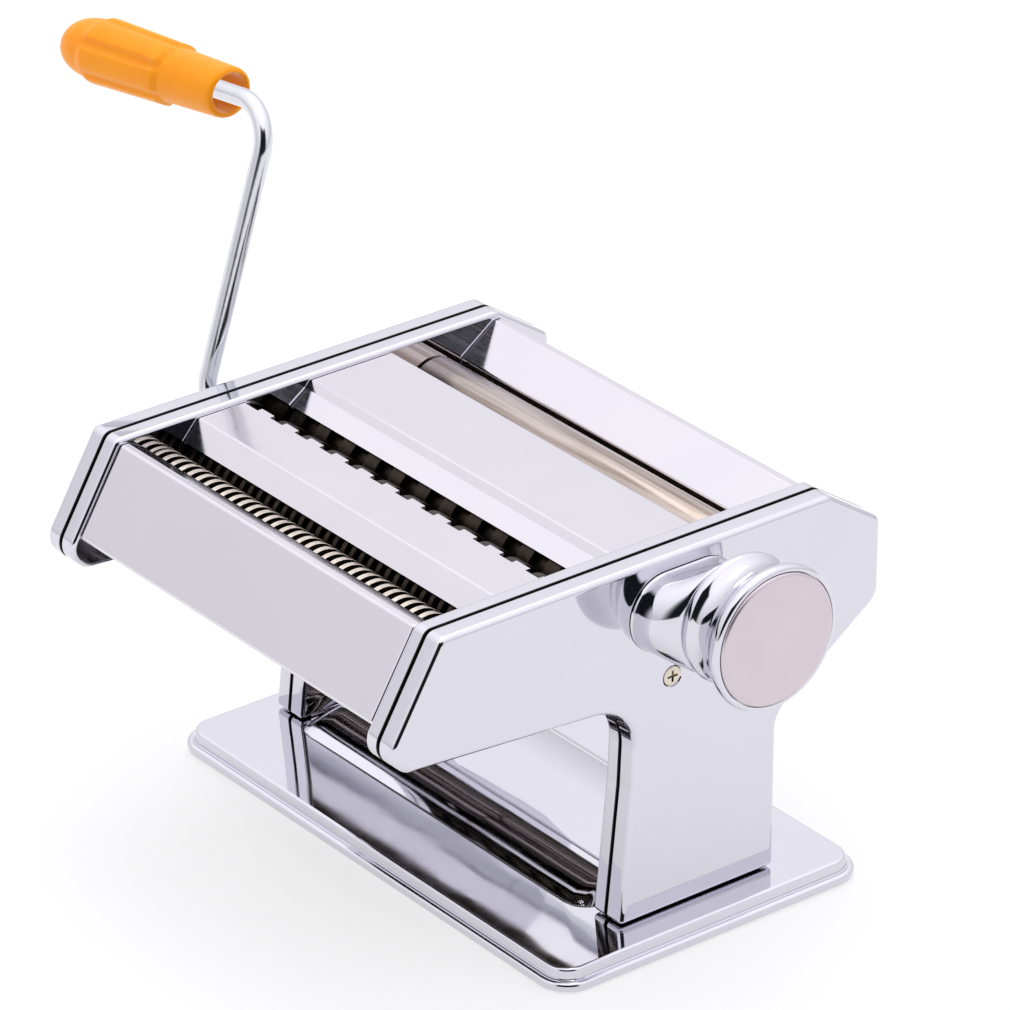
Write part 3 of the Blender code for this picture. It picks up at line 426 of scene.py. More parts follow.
def pressed_pan(name, hand, face, seam, edge):
    """A pan with a rounded back: face is its flat side, seam its open rim."""
    out = 1.0 if seam > face else -1.0
    profile = [(PAN_SHEET + 1.0, face + out * PAN_SHEET), (PAN_SHEET, face + out * (PAN_SHEET + 1.2)),
               (PAN_SHEET, seam - out * 0.3), (PAN_SHEET - 0.3, seam), (0.4, seam), (0.12, seam - out * 0.12),
               (0.0, seam - out * 0.4)]
    profile += [(edge + y, face + out * (edge - x)) for y, x in arc((0, 0), edge, 180, 90, 7)]
    loops = [[(hand * x, y, z) for y, z in round_corners(SIDE_CORNERS, inset)] for inset, x in profile]
    pan = skin(name, loops, chrome)
    # The rim faces at the seam and the faces turned into the seam take the painted shade of the gap.
    pan.data.materials.append(seam_painted_shade)
    for facet in pan.data.polygons:
        if abs(abs(facet.center.x - MIDDLE.x) * 1000 - seam) < 0.32 or facet.normal.x * hand * out > 0.9:
            facet.material_index = 1
    return pan


for hand, label in ((-1, "left"), (1, "right")):
    pan = pressed_pan("frame_pan_" + label, hand, FRAME_FACE, SEAM - SEAM_GAP / 2, 1.6)
    foot = skin("frame_foot", [[(hand * x, y, z) for y, z in FOOT_OUTLINE] for x in (76.4, 82.0)], chrome)
    holes = [drill((y, z), (DRIVE_SHAFT_R if hand < 0 and front else SHAFT_R) + RUNNING_GAP, hand * 74, hand * 79.5)
             for y, z, front in ((FINE_Y[0], CRANK_Z, True), (FINE_Y[1], CRANK_Z, False), (WIDE_Y[0], CRANK_Z, True),
                                 (WIDE_Y[1], CRANK_Z, False), (SMOOTH_Y[1], SMOOTH_Z, True))]
    holes += [drill(place, 2.3, hand * 74, hand * 79.5) for place in TIE_RODS.values()]
    slot = round_corners([(-6.0, 122.0, 7.6), (12.6, 122.0, 7.6), (12.6, 106.0, 7.6), (-6.0, 106.0, 7.6)])
    holes.append(skin("slot", [[(hand * x, y, z) for y, z in slot] for x in (74, 79.5)], chrome))
    cut(pan, holes, joined=[foot])
    flatten(pan)
    stand_for(pan, "side_frame_" + label)


# ---------------------------------------------------------------------------------------------------------------
# Side covers. An outer pan closes each side, over the gears on the crank side and over the regulator on the knob
# side. It is the most polished part, and one countersunk cross-head screw holds it.
KNOB_AXIS = (1.5, 114.0)
SCREW_CONE = [(86.5, 2.0), (88.0, 2.0), (90.2, 4.1)]

for hand, label in ((-1, "left"), (1, "right")):
    pan = pressed_pan("cover_pan_" + label, hand, COVER_FACE, SEAM + SEAM_GAP / 2, 2.0)
    holes = [turned("countersink", (0.0, *COVER_SCREW), (hand, 0, 0), SCREW_CONE, 40, chrome)]
    if hand < 0:
        holes += [drill(place, DRIVE_SHAFT_R + 0.6, -86, -92, 48)
                  for place in ((FINE_Y[0], CRANK_Z), (WIDE_Y[0], CRANK_Z), (SMOOTH_Y[1], SMOOTH_Z))]
    else:
        holes.append(drill(KNOB_AXIS, 4.4, 86, 92))
    cut(pan, holes)
    flatten(pan)
    stand_for(pan, "side_cover_" + label)

    head = [(74.6, 1.5), (87.9, 1.5), (89.35, 3.0), (89.6, 3.25), (89.8, 3.2), (89.93, 2.9), (89.97, 2.0)]
    screw = turned("cover_screw_fine_" + label, (0.0, *COVER_SCREW), (hand, 0, 0), head, 40, screw_steel)
    cross = []
    for half_y, half_z in ((2.0, 0.42), (0.42, 2.0)):
        corners = [(COVER_SCREW[0] + sy * half_y, COVER_SCREW[1] + sz * half_z)
                   for sy, sz in ((-1, -1), (1, -1), (1, 1), (-1, 1))]
        cross.append(skin("driver_wing", [[(hand * x, y, z) for y, z in corners] for x in (88.4, 91.0)], screw_steel))
    cut(screw, cross)
    stand_for(screw, "cover_screw_" + label)


# ---------------------------------------------------------------------------------------------------------------
# Tie rods. Three plain plated bars space the two side frames, each riveted over at both ends.
# Drawn bar keeps faint lines along its length under the plating.
bar_steel, tree, shader, mm = new_finish("bright_plated_drawn_bar")
shader.inputs["Metallic"].default_value = 1.0
cloud = add_node(tree, "ShaderNodeTexNoise", {"Vector": mm, "Scale": 1 / 9.0, "Detail": 4.0})
shade = add_node(tree, "ShaderNodeMix", {0: cloud.outputs[0], 6: linear_colour("D2D3D8"),
                                         7: linear_colour("E3E3E8")}, data_type="RGBA")
tree.links.new(shade.outputs[2], shader.inputs["Base Color"])
dull = add_node(tree, "ShaderNodeMapRange", {"Value": cloud.outputs[0], "To Min": 0.07, "To Max": 0.17})
tree.links.new(dull.outputs[0], shader.inputs["Roughness"])
dents = add_node(tree, "ShaderNodeBump", {"Height": cloud.outputs[0], "Strength": 0.6, "Distance": 6e-5})
tree.links.new(dents.outputs[0], shader.inputs["Normal"])
for rod in TIE_RODS:
    finish_node(rod, bar_steel, 0.2)


# ---------------------------------------------------------------------------------------------------------------
# Strip cutters. Each pair is two grooved steel rollers whose discs interleave. The lands are ground and plated.
# The grooves and disc sides of every roller, and the lands of all but the front fine cutter, are painted dark as
# shade.
land_steel, tree, shader, mm = new_finish("ground_cutter_steel")
shader.inputs["Metallic"].default_value = 1.0
wear = add_node(tree, "ShaderNodeTexNoise", {"Vector": mm, "Scale": 1 / 1.2, "Detail": 4.0})
shade = add_node(tree, "ShaderNodeMix", {0: wear.outputs[0], 6: linear_colour("B7A999"),
                                         7: linear_colour("EDE7DD")}, data_type="RGBA")
tree.links.new(shade.outputs[2], shader.inputs["Base Color"])
dull = add_node(tree, "ShaderNodeMapRange", {"Value": wear.outputs[0], "To Min": 0.2, "To Max": 0.42})
tree.links.new(dull.outputs[0], shader.inputs["Roughness"])
grinding = add_node(tree, "ShaderNodeBump", {"Height": wear.outputs[0], "Strength": 0.5, "Distance": 1e-5})
tree.links.new(grinding.outputs[0], shader.inputs["Normal"])

# Painted shade: steel painted dark brown-black with a dull sheen, for the cutters' grooves and shaded lands.
dark_painted_shade_steel, tree, shader, mm = new_finish("painted_shade_dark_steel")
shader.inputs["Metallic"].default_value = 0.85
shade_mottle = add_node(tree, "ShaderNodeTexNoise", {"Vector": mm, "Scale": 1 / 2.5, "Detail": 4.0})
shade = add_node(tree, "ShaderNodeMix", {0: shade_mottle.outputs[0], 6: linear_colour("14110F"),
                                         7: linear_colour("4A3F36")}, data_type="RGBA")
tree.links.new(shade.outputs[2], shader.inputs["Base Color"])
dull = add_node(tree, "ShaderNodeMapRange", {"Value": shade_mottle.outputs[0], "To Min": 0.28, "To Max": 0.5})
tree.links.new(dull.outputs[0], shader.inputs["Roughness"])
tooling = add_node(tree, "ShaderNodeBump", {"Height": shade_mottle.outputs[0], "Strength": 0.5, "Distance": 2e-5})
tree.links.new(tooling.outputs[0], shader.inputs["Normal"])

ROLLER_HALF = 75.4
CUTTERS = {"fine": (FINE_Y, 9.2, 6.6, 4.4), "wide": (WIDE_Y, 9.9, 7.0, 13.0)}
LEAN = math.radians(17.3)


def disc_steps(disc_r, groove_r, pitch, offset):
    """Discs half a pitch wide with a broken corner, shifted so that the two rollers interleave."""
    half, corner, points = pitch / 4 - 0.15, 0.14, []
    count = int(2 * ROLLER_HALF / pitch) + 2
    for i in range(-count, count + 1):
        low, high = max((i + offset) * pitch - half, -ROLLER_HALF), min((i + offset) * pitch + half, ROLLER_HALF)
        if high - low > 0.5:
            points += [(low, groove_r), (low, disc_r - corner), (low + corner, disc_r), (high - corner, disc_r),
                       (high, disc_r - corner), (high, groove_r)]
    if points[0][0] > -ROLLER_HALF:
        points.insert(0, (-ROLLER_HALF, groove_r))
    if points[-1][0] < ROLLER_HALF:
        points.append((ROLLER_HALF, groove_r))
    return points


def on_shafts(body, driven):
    """Adds the journals: a socketed drive shaft on the crank side of a driven roller."""
    left_r, left_x = (DRIVE_SHAFT_R, -87.4) if driven else (SHAFT_R, -86.0)
    return [(left_x, left_r - 0.3), (left_x + 0.3, left_r), (-ROLLER_HALF, left_r)] + body + [
        (ROLLER_HALF, SHAFT_R), (79.2, SHAFT_R), (79.6, SHAFT_R - 0.4)]


def crank_socket(place):
    """The blind hexagonal socket that takes the crank."""
    loops = []
    for x in (-90.0, -71.6):
        turns = [math.pi / 3 * k + math.pi - LEAN for k in range(6)]
        loops.append([(x, place[0] + 3.464 * math.cos(t), place[1] + 3.464 * math.sin(t)) for t in turns])
    return skin("socket", loops, chrome)


for kind, (axes, disc_r, groove_r, pitch) in CUTTERS.items():
    for y, end, offset in ((axes[0], "front", 0.0), (axes[1], "rear", 0.5)):
        profile = on_shafts(disc_steps(disc_r, groove_r, pitch, offset), end == "front")
        cutter = turned(kind + "_cutter_roller_" + end, (0, y, CRANK_Z), (1, 0, 0), profile, 48, land_steel, 30)
        if end == "front":
            cut(cutter, [crank_socket((y, CRANK_Z))], 30)
        cutter.data.materials.append(dark_painted_shade_steel)
        axis = Vector((0.0, y, CRANK_Z)) / 1000 + MIDDLE
        # Every face but the front fine cutter's land tops takes the dark painted shade.
        for face in cutter.data.polygons:
            reach = math.hypot(face.center.y - axis.y, face.center.z - axis.z) * 1000
            bright = kind == "fine" and end == "front" and reach > disc_r - 0.3
            if not bright and abs(face.center.x - MIDDLE.x) * 1000 < ROLLER_HALF:
                face.material_index = 1
        stand_for(cutter, kind + "_cutter_" + end)


# ---------------------------------------------------------------------------------------------------------------
# Smooth rollers. A pair of ground and plated rollers thins the dough; the rear one is driven and the front one
# slides to set the thickness. Grinding leaves fine rings round them; the tan and dark streaks along them are painted
# reflection.
roller_steel, tree, shader, mm = new_finish("ground_plated_roller_steel")
shader.inputs["Metallic"].default_value = 1.0
ring_place = add_node(tree, "ShaderNodeVectorMath", {0: mm, 1: (2.2, 0.03, 0.03)}, operation="MULTIPLY")
rings = add_node(tree, "ShaderNodeTexNoise", {"Vector": ring_place.outputs[0], "Scale": 1.0, "Detail": 3.0})
# Tan and dark streaks along the rollers' length are painted reflection.
reflection_streak_place = add_node(tree, "ShaderNodeVectorMath", {0: mm, 1: (0.012, 0.35, 0.35)}, operation="MULTIPLY")
reflection_streaks = add_node(tree, "ShaderNodeTexNoise", {"Vector": reflection_streak_place.outputs[0], "Scale": 1.0, "Detail": 4.0})
reflection_band = add_node(tree, "ShaderNodeMapRange", {"Value": reflection_streaks.outputs[0], "From Min": 0.38, "From Max": 0.62})
shade = add_node(tree, "ShaderNodeMix", {0: reflection_band.outputs[0], 6: linear_colour("8F8178"),
                                         7: linear_colour("C3B8B2")}, data_type="RGBA")
tree.links.new(shade.outputs[2], shader.inputs["Base Color"])
dull = add_node(tree, "ShaderNodeMapRange", {"Value": rings.outputs[0], "To Min": 0.12, "To Max": 0.3})
tree.links.new(dull.outputs[0], shader.inputs["Roughness"])
grinding = add_node(tree, "ShaderNodeBump", {"Height": rings.outputs[0], "Strength": 0.5, "Distance": 6e-6})
tree.links.new(grinding.outputs[0], shader.inputs["Normal"])

SMOOTH_R = 10.15
for y, end in zip(SMOOTH_Y, ("front", "rear")):
    body = [(-ROLLER_HALF, SMOOTH_R - 0.8), (-ROLLER_HALF + 0.25, SMOOTH_R - 0.25), (-ROLLER_HALF + 0.8, SMOOTH_R),
            (ROLLER_HALF - 0.8, SMOOTH_R), (ROLLER_HALF - 0.25, SMOOTH_R - 0.25), (ROLLER_HALF, SMOOTH_R - 0.8)]
    roller = turned("smooth_roller_barrel_" + end, (0, y, SMOOTH_Z), (1, 0, 0), on_shafts(body, end == "rear"), 96,
                    roller_steel, 30)
    if end == "rear":
        cut(roller, [crank_socket((y, SMOOTH_Z))], 30)
    stand_for(roller, "smooth_roller_" + end)


# ---------------------------------------------------------------------------------------------------------------
# Gears and bearings. Twelve-tooth steel gears pair the rollers behind the crank-side cover, and two nylon blocks
# slide in the frames with the adjustable roller.
gear_steel, tree, shader, mm = new_finish("oiled_hobbed_gear_steel")
shader.inputs["Metallic"].default_value = 1.0
hob = add_node(tree, "ShaderNodeTexNoise", {"Vector": mm, "Scale": 1 / 0.8, "Detail": 3.0})
shade = add_node(tree, "ShaderNodeMix", {0: hob.outputs[0], 6: linear_colour("6E6A66"),
                                         7: linear_colour("A9A49C")}, data_type="RGBA")
tree.links.new(shade.outputs[2], shader.inputs["Base Color"])
dull = add_node(tree, "ShaderNodeMapRange", {"Value": hob.outputs[0], "To Min": 0.25, "To Max": 0.45})
tree.links.new(dull.outputs[0], shader.inputs["Roughness"])
feed = add_node(tree, "ShaderNodeBump", {"Height": hob.outputs[0], "Strength": 0.5, "Distance": 1e-5})
tree.links.new(feed.outputs[0], shader.inputs["Normal"])
for kind in ("fine", "wide", "smooth"):
    for end in ("front", "rear"):
        finish_node(kind + "_gear_" + end, gear_steel, 0.15)

# Natural nylon: milky, with a slight glow and a moulded satin skin.
nylon, tree, shader, mm = new_finish("natural_nylon")
shader.inputs["Roughness"].default_value = 0.42
shader.inputs["Subsurface Weight"].default_value = 0.2
shader.inputs["Subsurface Scale"].default_value = 0.002
skin_noise = add_node(tree, "ShaderNodeTexNoise", {"Vector": mm, "Scale": 1 / 1.5, "Detail": 2.0})
shade = add_node(tree, "ShaderNodeMix", {0: skin_noise.outputs[0], 6: linear_colour("DDD8CC"),
                                         7: linear_colour("ECE8DE")}, data_type="RGBA")
tree.links.new(shade.outputs[2], shader.inputs["Base Color"])
satin = add_node(tree, "ShaderNodeBump", {"Height": skin_noise.outputs[0], "Strength": 0.4, "Distance": 1.5e-5})
tree.links.new(satin.outputs[0], shader.inputs["Normal"])
for hand in ("left", "right"):
    finish_node("roller_bearing_" + hand, nylon, 0.25)


# ---------------------------------------------------------------------------------------------------------------
# Combs and scrapers. Thin pressed strips under the rollers strip the dough off. They are left as rolled, with a
# light film of oil, and their steel is painted dark as the shade under the rollers.
strip_painted_shade, tree, shader, mm = new_finish("oiled_strip_painted_shade")
shader.inputs["Metallic"].default_value = 1.0
shade_mottle = add_node(tree, "ShaderNodeTexNoise", {"Vector": mm, "Scale": 1 / 6.0, "Detail": 4.0})
# The strip steel is painted dark as the shade under the rollers.
shade = add_node(tree, "ShaderNodeMix", {0: shade_mottle.outputs[0], 6: linear_colour("4B443E"),
                                         7: linear_colour("7B736B")}, data_type="RGBA")
tree.links.new(shade.outputs[2], shader.inputs["Base Color"])
dull = add_node(tree, "ShaderNodeMapRange", {"Value": shade_mottle.outputs[0], "To Min": 0.25, "To Max": 0.42})
tree.links.new(dull.outputs[0], shader.inputs["Roughness"])
rolling = add_node(tree, "ShaderNodeBump", {"Height": shade_mottle.outputs[0], "Strength": 0.4, "Distance": 2e-5})
tree.links.new(rolling.outputs[0], shader.inputs["Normal"])
for node in ("fine_comb_front", "fine_comb_rear", "wide_comb_front", "wide_comb_rear", "scraper_front",
             "scraper_rear"):
    finish_node(node, strip_painted_shade, 0.12)


# ---------------------------------------------------------------------------------------------------------------
# Top sheets. Four bright stainless sheets are bent over and span the frames: the front apron, the strip between
# the cutters with its notched rear edge, the plate before the smooth rollers, and the hopper wall, whose lower lip
# takes the cutters' dark painted shade. Rolling leaves faint lines along X.
stainless, tree, shader, mm = new_finish("bright_rolled_stainless_sheet")
shader.inputs["Metallic"].default_value = 1.0
mottle = add_node(tree, "ShaderNodeTexNoise", {"Vector": mm, "Scale": 1 / 26.0, "Detail": 3.0})
shade = add_node(tree, "ShaderNodeMix", {0: mottle.outputs[0], 6: linear_colour("D9D6DD"),
                                         7: linear_colour("DEDADF")}, data_type="RGBA")
tree.links.new(shade.outputs[2], shader.inputs["Base Color"])
line_place = add_node(tree, "ShaderNodeVectorMath", {0: mm, 1: (0.02, 2.4, 2.4)}, operation="MULTIPLY")
lines = add_node(tree, "ShaderNodeTexNoise", {"Vector": line_place.outputs[0], "Scale": 1.0, "Detail": 3.0})
both = add_node(tree, "ShaderNodeMath", {0: lines.outputs[0], 1: mottle.outputs[0]}, operation="ADD")
dull = add_node(tree, "ShaderNodeMapRange", {"Value": both.outputs[0], "From Min": 0.7, "From Max": 1.3,
                                             "To Min": 0.09, "To Max": 0.19})
tree.links.new(dull.outputs[0], shader.inputs["Roughness"])
wave = add_node(tree, "ShaderNodeBump", {"Height": mottle.outputs[0], "Strength": 1.0, "Distance": 1.5e-4})
rolled = add_node(tree, "ShaderNodeBump", {"Height": lines.outputs[0], "Strength": 0.5, "Distance": 2e-6,
                                           "Normal": wave.outputs[0]})
tree.links.new(rolled.outputs[0], shader.inputs["Normal"])

SHEET = 1.0
SHEET_HALF = 75.7
NOTCH_PITCH, NOTCH_WIDTH, NOTCH_LIMIT = 13.0, 6.5, 75.0
NOTCH_OUTLINE = ((-50.5, 128), (-47, 128), (-47, 133), (-50.5, 133))
LIP_TOP, LIP_BACK = 119.6, 45.0
SHEETS = {
    "front_panel": ([(-107.0, 100.6), (-114.3, 103.0), (-98.0, 130.3), (-95.9, 130.3), (-89.9, 127.0)], 0.9,
                    (0.858, -0.513), 1.3),
    "narrow_top_plate": ([(-73.4, 123.9), (-67.7, 130.5), (-48.6, 130.5)], 0.8, (0.0, -1.0), 0.7),
    "wide_top_plate": ([(-31.6, 123.7), (-25.4, 128.0), (-23.4, 130.5), (8.4, 130.5), (8.4, 126.6)], 0.7,
                       (0.0, -1.0), 0.7),
    "rear_panel": ([(37.0, 110.0), (37.4, 119.9), (50.6, 129.4), (53.0, 129.4), (56.6, 125.4)], 0.9,
                   (0.0, -1.0), 0.5)}


def bent_sheet(path, radius):
    """Section of a sheet bent along a path, with round bends."""
    middle = [Vector(path[0])]
    for before, here, after in zip(path, path[1:], path[2:]):
        here, back, ahead = Vector(here), Vector(before) - Vector(here), Vector(after) - Vector(here)
        half = back.angle(ahead) / 2
        reach = min(radius / math.tan(half), 0.45 * min(back.length, ahead.length))
        bend_r = reach * math.tan(half)
        centre = here + (back.normalized() + ahead.normalized()).normalized() * bend_r / math.sin(half)
        start, end = here + back.normalized() * reach - centre, here + ahead.normalized() * reach - centre
        middle += [centre + start.slerp(end, k / 6) * bend_r for k in range(7)]
    middle.append(Vector(path[-1]))
    left, right = [], []
    for i, here in enumerate(middle):
        along = (middle[min(i + 1, len(middle) - 1)] - middle[max(i - 1, 0)]).normalized()
        reach = SHEET / 2
        left.append(here + Vector((-along.y, along.x)) * reach)
        right.append(here - Vector((-along.y, along.x)) * reach)
    return [tuple(point) for point in left + right[::-1]]


for node, (path, radius, inward, end_r) in SHEETS.items():
    section = bent_sheet(path, radius)
    loops = []
    half_ends = arc((0.0, 0.0), end_r, 90, 0, 5)
    for sign, ends in ((-1, half_ends[::-1]), (1, half_ends)):
        for along, drop in ends:
            x = sign * (SHEET_HALF - end_r + along)
            loops.append([(x, y + inward[0] * (end_r - drop), z + inward[1] * (end_r - drop)) for y, z in section])
    sheet = skin(node + "_sheet", loops, stainless, 50)
    if node == "narrow_top_plate":
        notches = []
        for low in (NOTCH_PITCH * k + NOTCH_WIDTH / 2 for k in range(-6, 6)):
            span = (max(low, -NOTCH_LIMIT), min(low + NOTCH_WIDTH, NOTCH_LIMIT))
            notches.append(skin("notch", [[(x, y, z) for y, z in NOTCH_OUTLINE] for x in span], stainless))
        cut(sheet, notches, 50)
    if node == "rear_panel":
        # The hopper wall's lower lip takes the dark painted-shade steel of the cutters.
        sheet.data.materials.append(dark_painted_shade_steel)
        for face in sheet.data.polygons:
            if (face.center.z - MIDDLE.z) * 1000 < LIP_TOP and (face.center.y - MIDDLE.y) * 1000 < LIP_BACK:
                face.material_index = 1
    flatten(sheet)
    stand_for(sheet, node)


# ---------------------------------------------------------------------------------------------------------------
# Thickness regulator. A chromed boss stands on the knob-side cover, oblong there and flared out to round behind the
# knob. The spindle runs out through it, and a spool-shaped knob is pulled out against a coil spring to turn it. A
# satin dial plate closes the knob.
BOSS_BASE, BOSS_FACE = (-13.7, 13.0, 90.2), (0.5, 20.2, 105.2)
boss_profile = [(-2.4, 13.0), (-2.0, 0.0), (0.5, 0.0), (0.25, 0.3), (0.06, 0.8), (0.0, 1.6)]
boss_profile += [(0.0, 2.5 + 11.5 * k / 14) for k in range(14)]
boss_profile += [(y - 1.0, 14.0 + x) for y, x in arc((0, 0), 1.0, 0, 90, 6)]
loops = []
for proud, reach in boss_profile:
    share = (reach / (BOSS_FACE[2] - BOSS_BASE[2])) ** 2.4
    front_y, radius = (a + (b - a) * share for a, b in zip(BOSS_BASE[:2], BOSS_FACE[:2]))
    outline = [(front_y, 90, 270), (KNOB_AXIS[0], 270, 450)]
    loops.append([(BOSS_BASE[2] + reach, y, z) for middle, start, end in outline
                  for y, z in arc((middle, KNOB_AXIS[1]), radius + proud, start, end, 40)])
boss = skin("oblong_boss", loops, chrome, 35)
cut(boss, [drill(KNOB_AXIS, 4.4, 100, 107)], 35)
flatten(boss)
stand_for(boss, "regulator_boss")

finish_node("regulator_spindle", screw_steel, 0.2)

# Hard-drawn spring wire: grey and semi-bright, with short drawing marks.
spring_steel, tree, shader, mm = new_finish("bright_spring_wire")
shader.inputs["Metallic"].default_value = 1.0
drawing = add_node(tree, "ShaderNodeTexNoise", {"Vector": mm, "Scale": 1 / 0.7, "Detail": 2.0})
shade = add_node(tree, "ShaderNodeMix", {0: drawing.outputs[0], 6: linear_colour("8D8D92"),
                                         7: linear_colour("B4B4B8")}, data_type="RGBA")
tree.links.new(shade.outputs[2], shader.inputs["Base Color"])
dull = add_node(tree, "ShaderNodeMapRange", {"Value": drawing.outputs[0], "To Min": 0.18, "To Max": 0.35})
tree.links.new(dull.outputs[0], shader.inputs["Roughness"])
WIRE_R, COIL_R, TURNS = 0.5, 5.6, 3.5
COIL_ENDS = (111.2, 117.4)
loops = []
for k in range(int(TURNS * 36) + 1):
    turn = 2 * math.pi * k / 36
    outward = Vector((0.0, math.cos(turn), math.sin(turn)))
    x = COIL_ENDS[0] + (COIL_ENDS[1] - COIL_ENDS[0]) * k / (TURNS * 36)
    middle = Vector((x, *KNOB_AXIS)) + outward * COIL_R
    loops.append([middle + outward * WIRE_R * math.cos(t) + Vector((WIRE_R * math.sin(t), 0.0, 0.0))
                  for t in (2 * math.pi * i / 12 for i in range(12))])
spring = skin("knob_coil_spring", loops, spring_steel)
stand_for(spring, "knob_spring")
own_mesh(spring)

knob_profile = [(105.6, 4.3), (110.4, 4.3), (110.4, 8.0), (123.8, 8.0), (123.8, 22.15), (124.7, 22.2)]
knob_profile += [(124.75, 22.5), (124.7, 22.95), (124.45, 23.4), (124.0, 23.75), (123.4, 23.95), (122.7, 24.0),
                 (121.9, 23.85), (120.9, 23.3), (119.8, 22.4), (118.6, 21.4), (117.3, 20.5), (115.9, 19.85),
                 (114.4, 19.4), (112.9, 19.2), (111.5, 19.25), (110.3, 19.6), (109.3, 20.2), (108.6, 20.85),
                 (108.2, 21.25), (107.7, 21.42), (106.5, 21.42), (106.0, 21.25), (105.7, 20.9), (105.6, 20.5)]
knob = turned("spool_knob", (0.0, *KNOB_AXIS), (1, 0, 0), knob_profile, 128, chrome, 38, closed=True)
SET_SCREW_TURN = math.radians(228.0)
set_way = (0.0, math.cos(SET_SCREW_TURN), math.sin(SET_SCREW_TURN))
set_middle = (112.6, *KNOB_AXIS)
cut(knob, [turned("set_hole", set_middle, set_way, ((11.6, 1.9), (23.0, 1.9)), 28, chrome)], 38)
stand_for(knob, "regulator_knob")

set_screw = turned("knob_grub_screw", set_middle, set_way, [(12.0, 1.6), (18.6, 1.6), (18.95, 1.3)], 28, screw_steel)
cut(set_screw, [turned("hex_key", set_middle, set_way, ((17.2, 0.8), (20.0, 0.8)), 6, screw_steel)])
stand_for(set_screw, "knob_set_screw")

# Satin dial plate: spun aluminium, lightly anodised with a faint pink cast and very fine rings.
dial_metal, tree, shader, mm = new_finish("satin_spun_aluminium")
shader.inputs["Metallic"].default_value = 1.0
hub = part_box("knob_dial")
hub_y, hub_z = (hub[0].y + hub[1].y) * 500, (hub[0].z + hub[1].z) * 500
from_hub = add_node(tree, "ShaderNodeVectorMath", {0: mm, 1: (0.0, hub_y, hub_z)}, operation="SUBTRACT")
across = add_node(tree, "ShaderNodeVectorMath", {0: from_hub.outputs[0], 1: (0.0, 1.0, 1.0)}, operation="MULTIPLY")
reach = add_node(tree, "ShaderNodeVectorMath", {0: across.outputs[0]}, operation="LENGTH")
spun = add_node(tree, "ShaderNodeTexNoise", {"W": reach.outputs["Value"], "Scale": 3.0, "Detail": 3.0},
                noise_dimensions="1D")
cloud = add_node(tree, "ShaderNodeTexNoise", {"Vector": mm, "Scale": 1 / 12.0, "Detail": 3.0})
shade = add_node(tree, "ShaderNodeMix", {0: cloud.outputs[0], 6: linear_colour("CEC3CA"),
                                         7: linear_colour("D5CBD1")}, data_type="RGBA")
tree.links.new(shade.outputs[2], shader.inputs["Base Color"])
dull = add_node(tree, "ShaderNodeMapRange", {"Value": spun.outputs[0], "To Min": 0.26, "To Max": 0.4})
tree.links.new(dull.outputs[0], shader.inputs["Roughness"])
lathe_marks = add_node(tree, "ShaderNodeBump", {"Height": spun.outputs[0], "Strength": 0.4, "Distance": 4e-6})
tree.links.new(lathe_marks.outputs[0], shader.inputs["Normal"])
dial_profile = [(124.05, 21.95), (124.6, 21.95)] + [(124.4 + x, 20.75 + r) for r, x in arc((0, 0), 1.2, 8, 90, 8)]
dial = turned("dial_plate", (0.0, *KNOB_AXIS), (1, 0, 0), dial_profile, 128, dial_metal, 45)
stand_for(dial, "knob_dial")


# ---------------------------------------------------------------------------------------------------------------
# Crank. One round bar, bent twice and plated; its end is forged to a hexagon that plugs into any of the three
# sockets.
ROD_R, HEX_R = 3.1, 3.118
ARM_X, ARM_LENGTH, GRIP_DROOP = -108.3, 101.0, math.radians(6.8)
BEND_R = (11.0, 14.0)
GRIP_START, GRIP_END = 21.9, 106.8
corner = Vector((ARM_X, CRANK_Y, CRANK_Z))
inward = Vector((1.0, 0.0, 0.0))
arm = Vector((0.0, math.sin(LEAN), math.cos(LEAN)))
top = corner + arm * ARM_LENGTH
grip_way = -inward * math.cos(GRIP_DROOP) - arm * math.sin(GRIP_DROOP)


def bend(place, towards, away, radius, steps):
    """Centre-line points of a bend at a corner."""
    half = towards.angle(away) / 2
    centre = place + (towards + away).normalized() * radius / math.sin(half)
    start = place + towards * radius / math.tan(half) - centre
    end = place + away * radius / math.tan(half) - centre
    return [centre + start.slerp(end, k / steps) * radius for k in range(steps + 1)]


path = [Vector((-72.8, CRANK_Y, CRANK_Z)), Vector((-73.3, CRANK_Y, CRANK_Z)), Vector((-88.0, CRANK_Y, CRANK_Z)),
        Vector((-88.8, CRANK_Y, CRANK_Z))]
path += bend(corner, inward, arm, BEND_R[0], 14)
path += [corner + arm * (BEND_R[0] + 20.0 * k) for k in (1, 2, 3)]
path += bend(top, -arm, grip_way, BEND_R[1], 16)
path += [top + grip_way * (GRIP_END - 12.0)]
side = inward.cross(arm)
loops = []
for i, point in enumerate(path):
    along = (path[min(i + 1, len(path) - 1)] - path[max(i - 1, 0)]).normalized()
    across = side.cross(along).normalized()
    loop = []
    for k in range(36):
        turn = 2 * math.pi * k / 36
        flat_part = HEX_R * math.cos(math.pi / 6) / math.cos((turn % (math.pi / 3)) - math.pi / 6)
        radius = (flat_part - (0.4 if i == 0 else 0.0)) if i < 3 else ROD_R
        loop.append(point + (side * math.cos(turn) + across * math.sin(turn)) * radius)
    loops.append(loop)
rod = skin("bent_crank_bar", loops, bar_steel, 32)
stand_for(rod, "crank_rod")


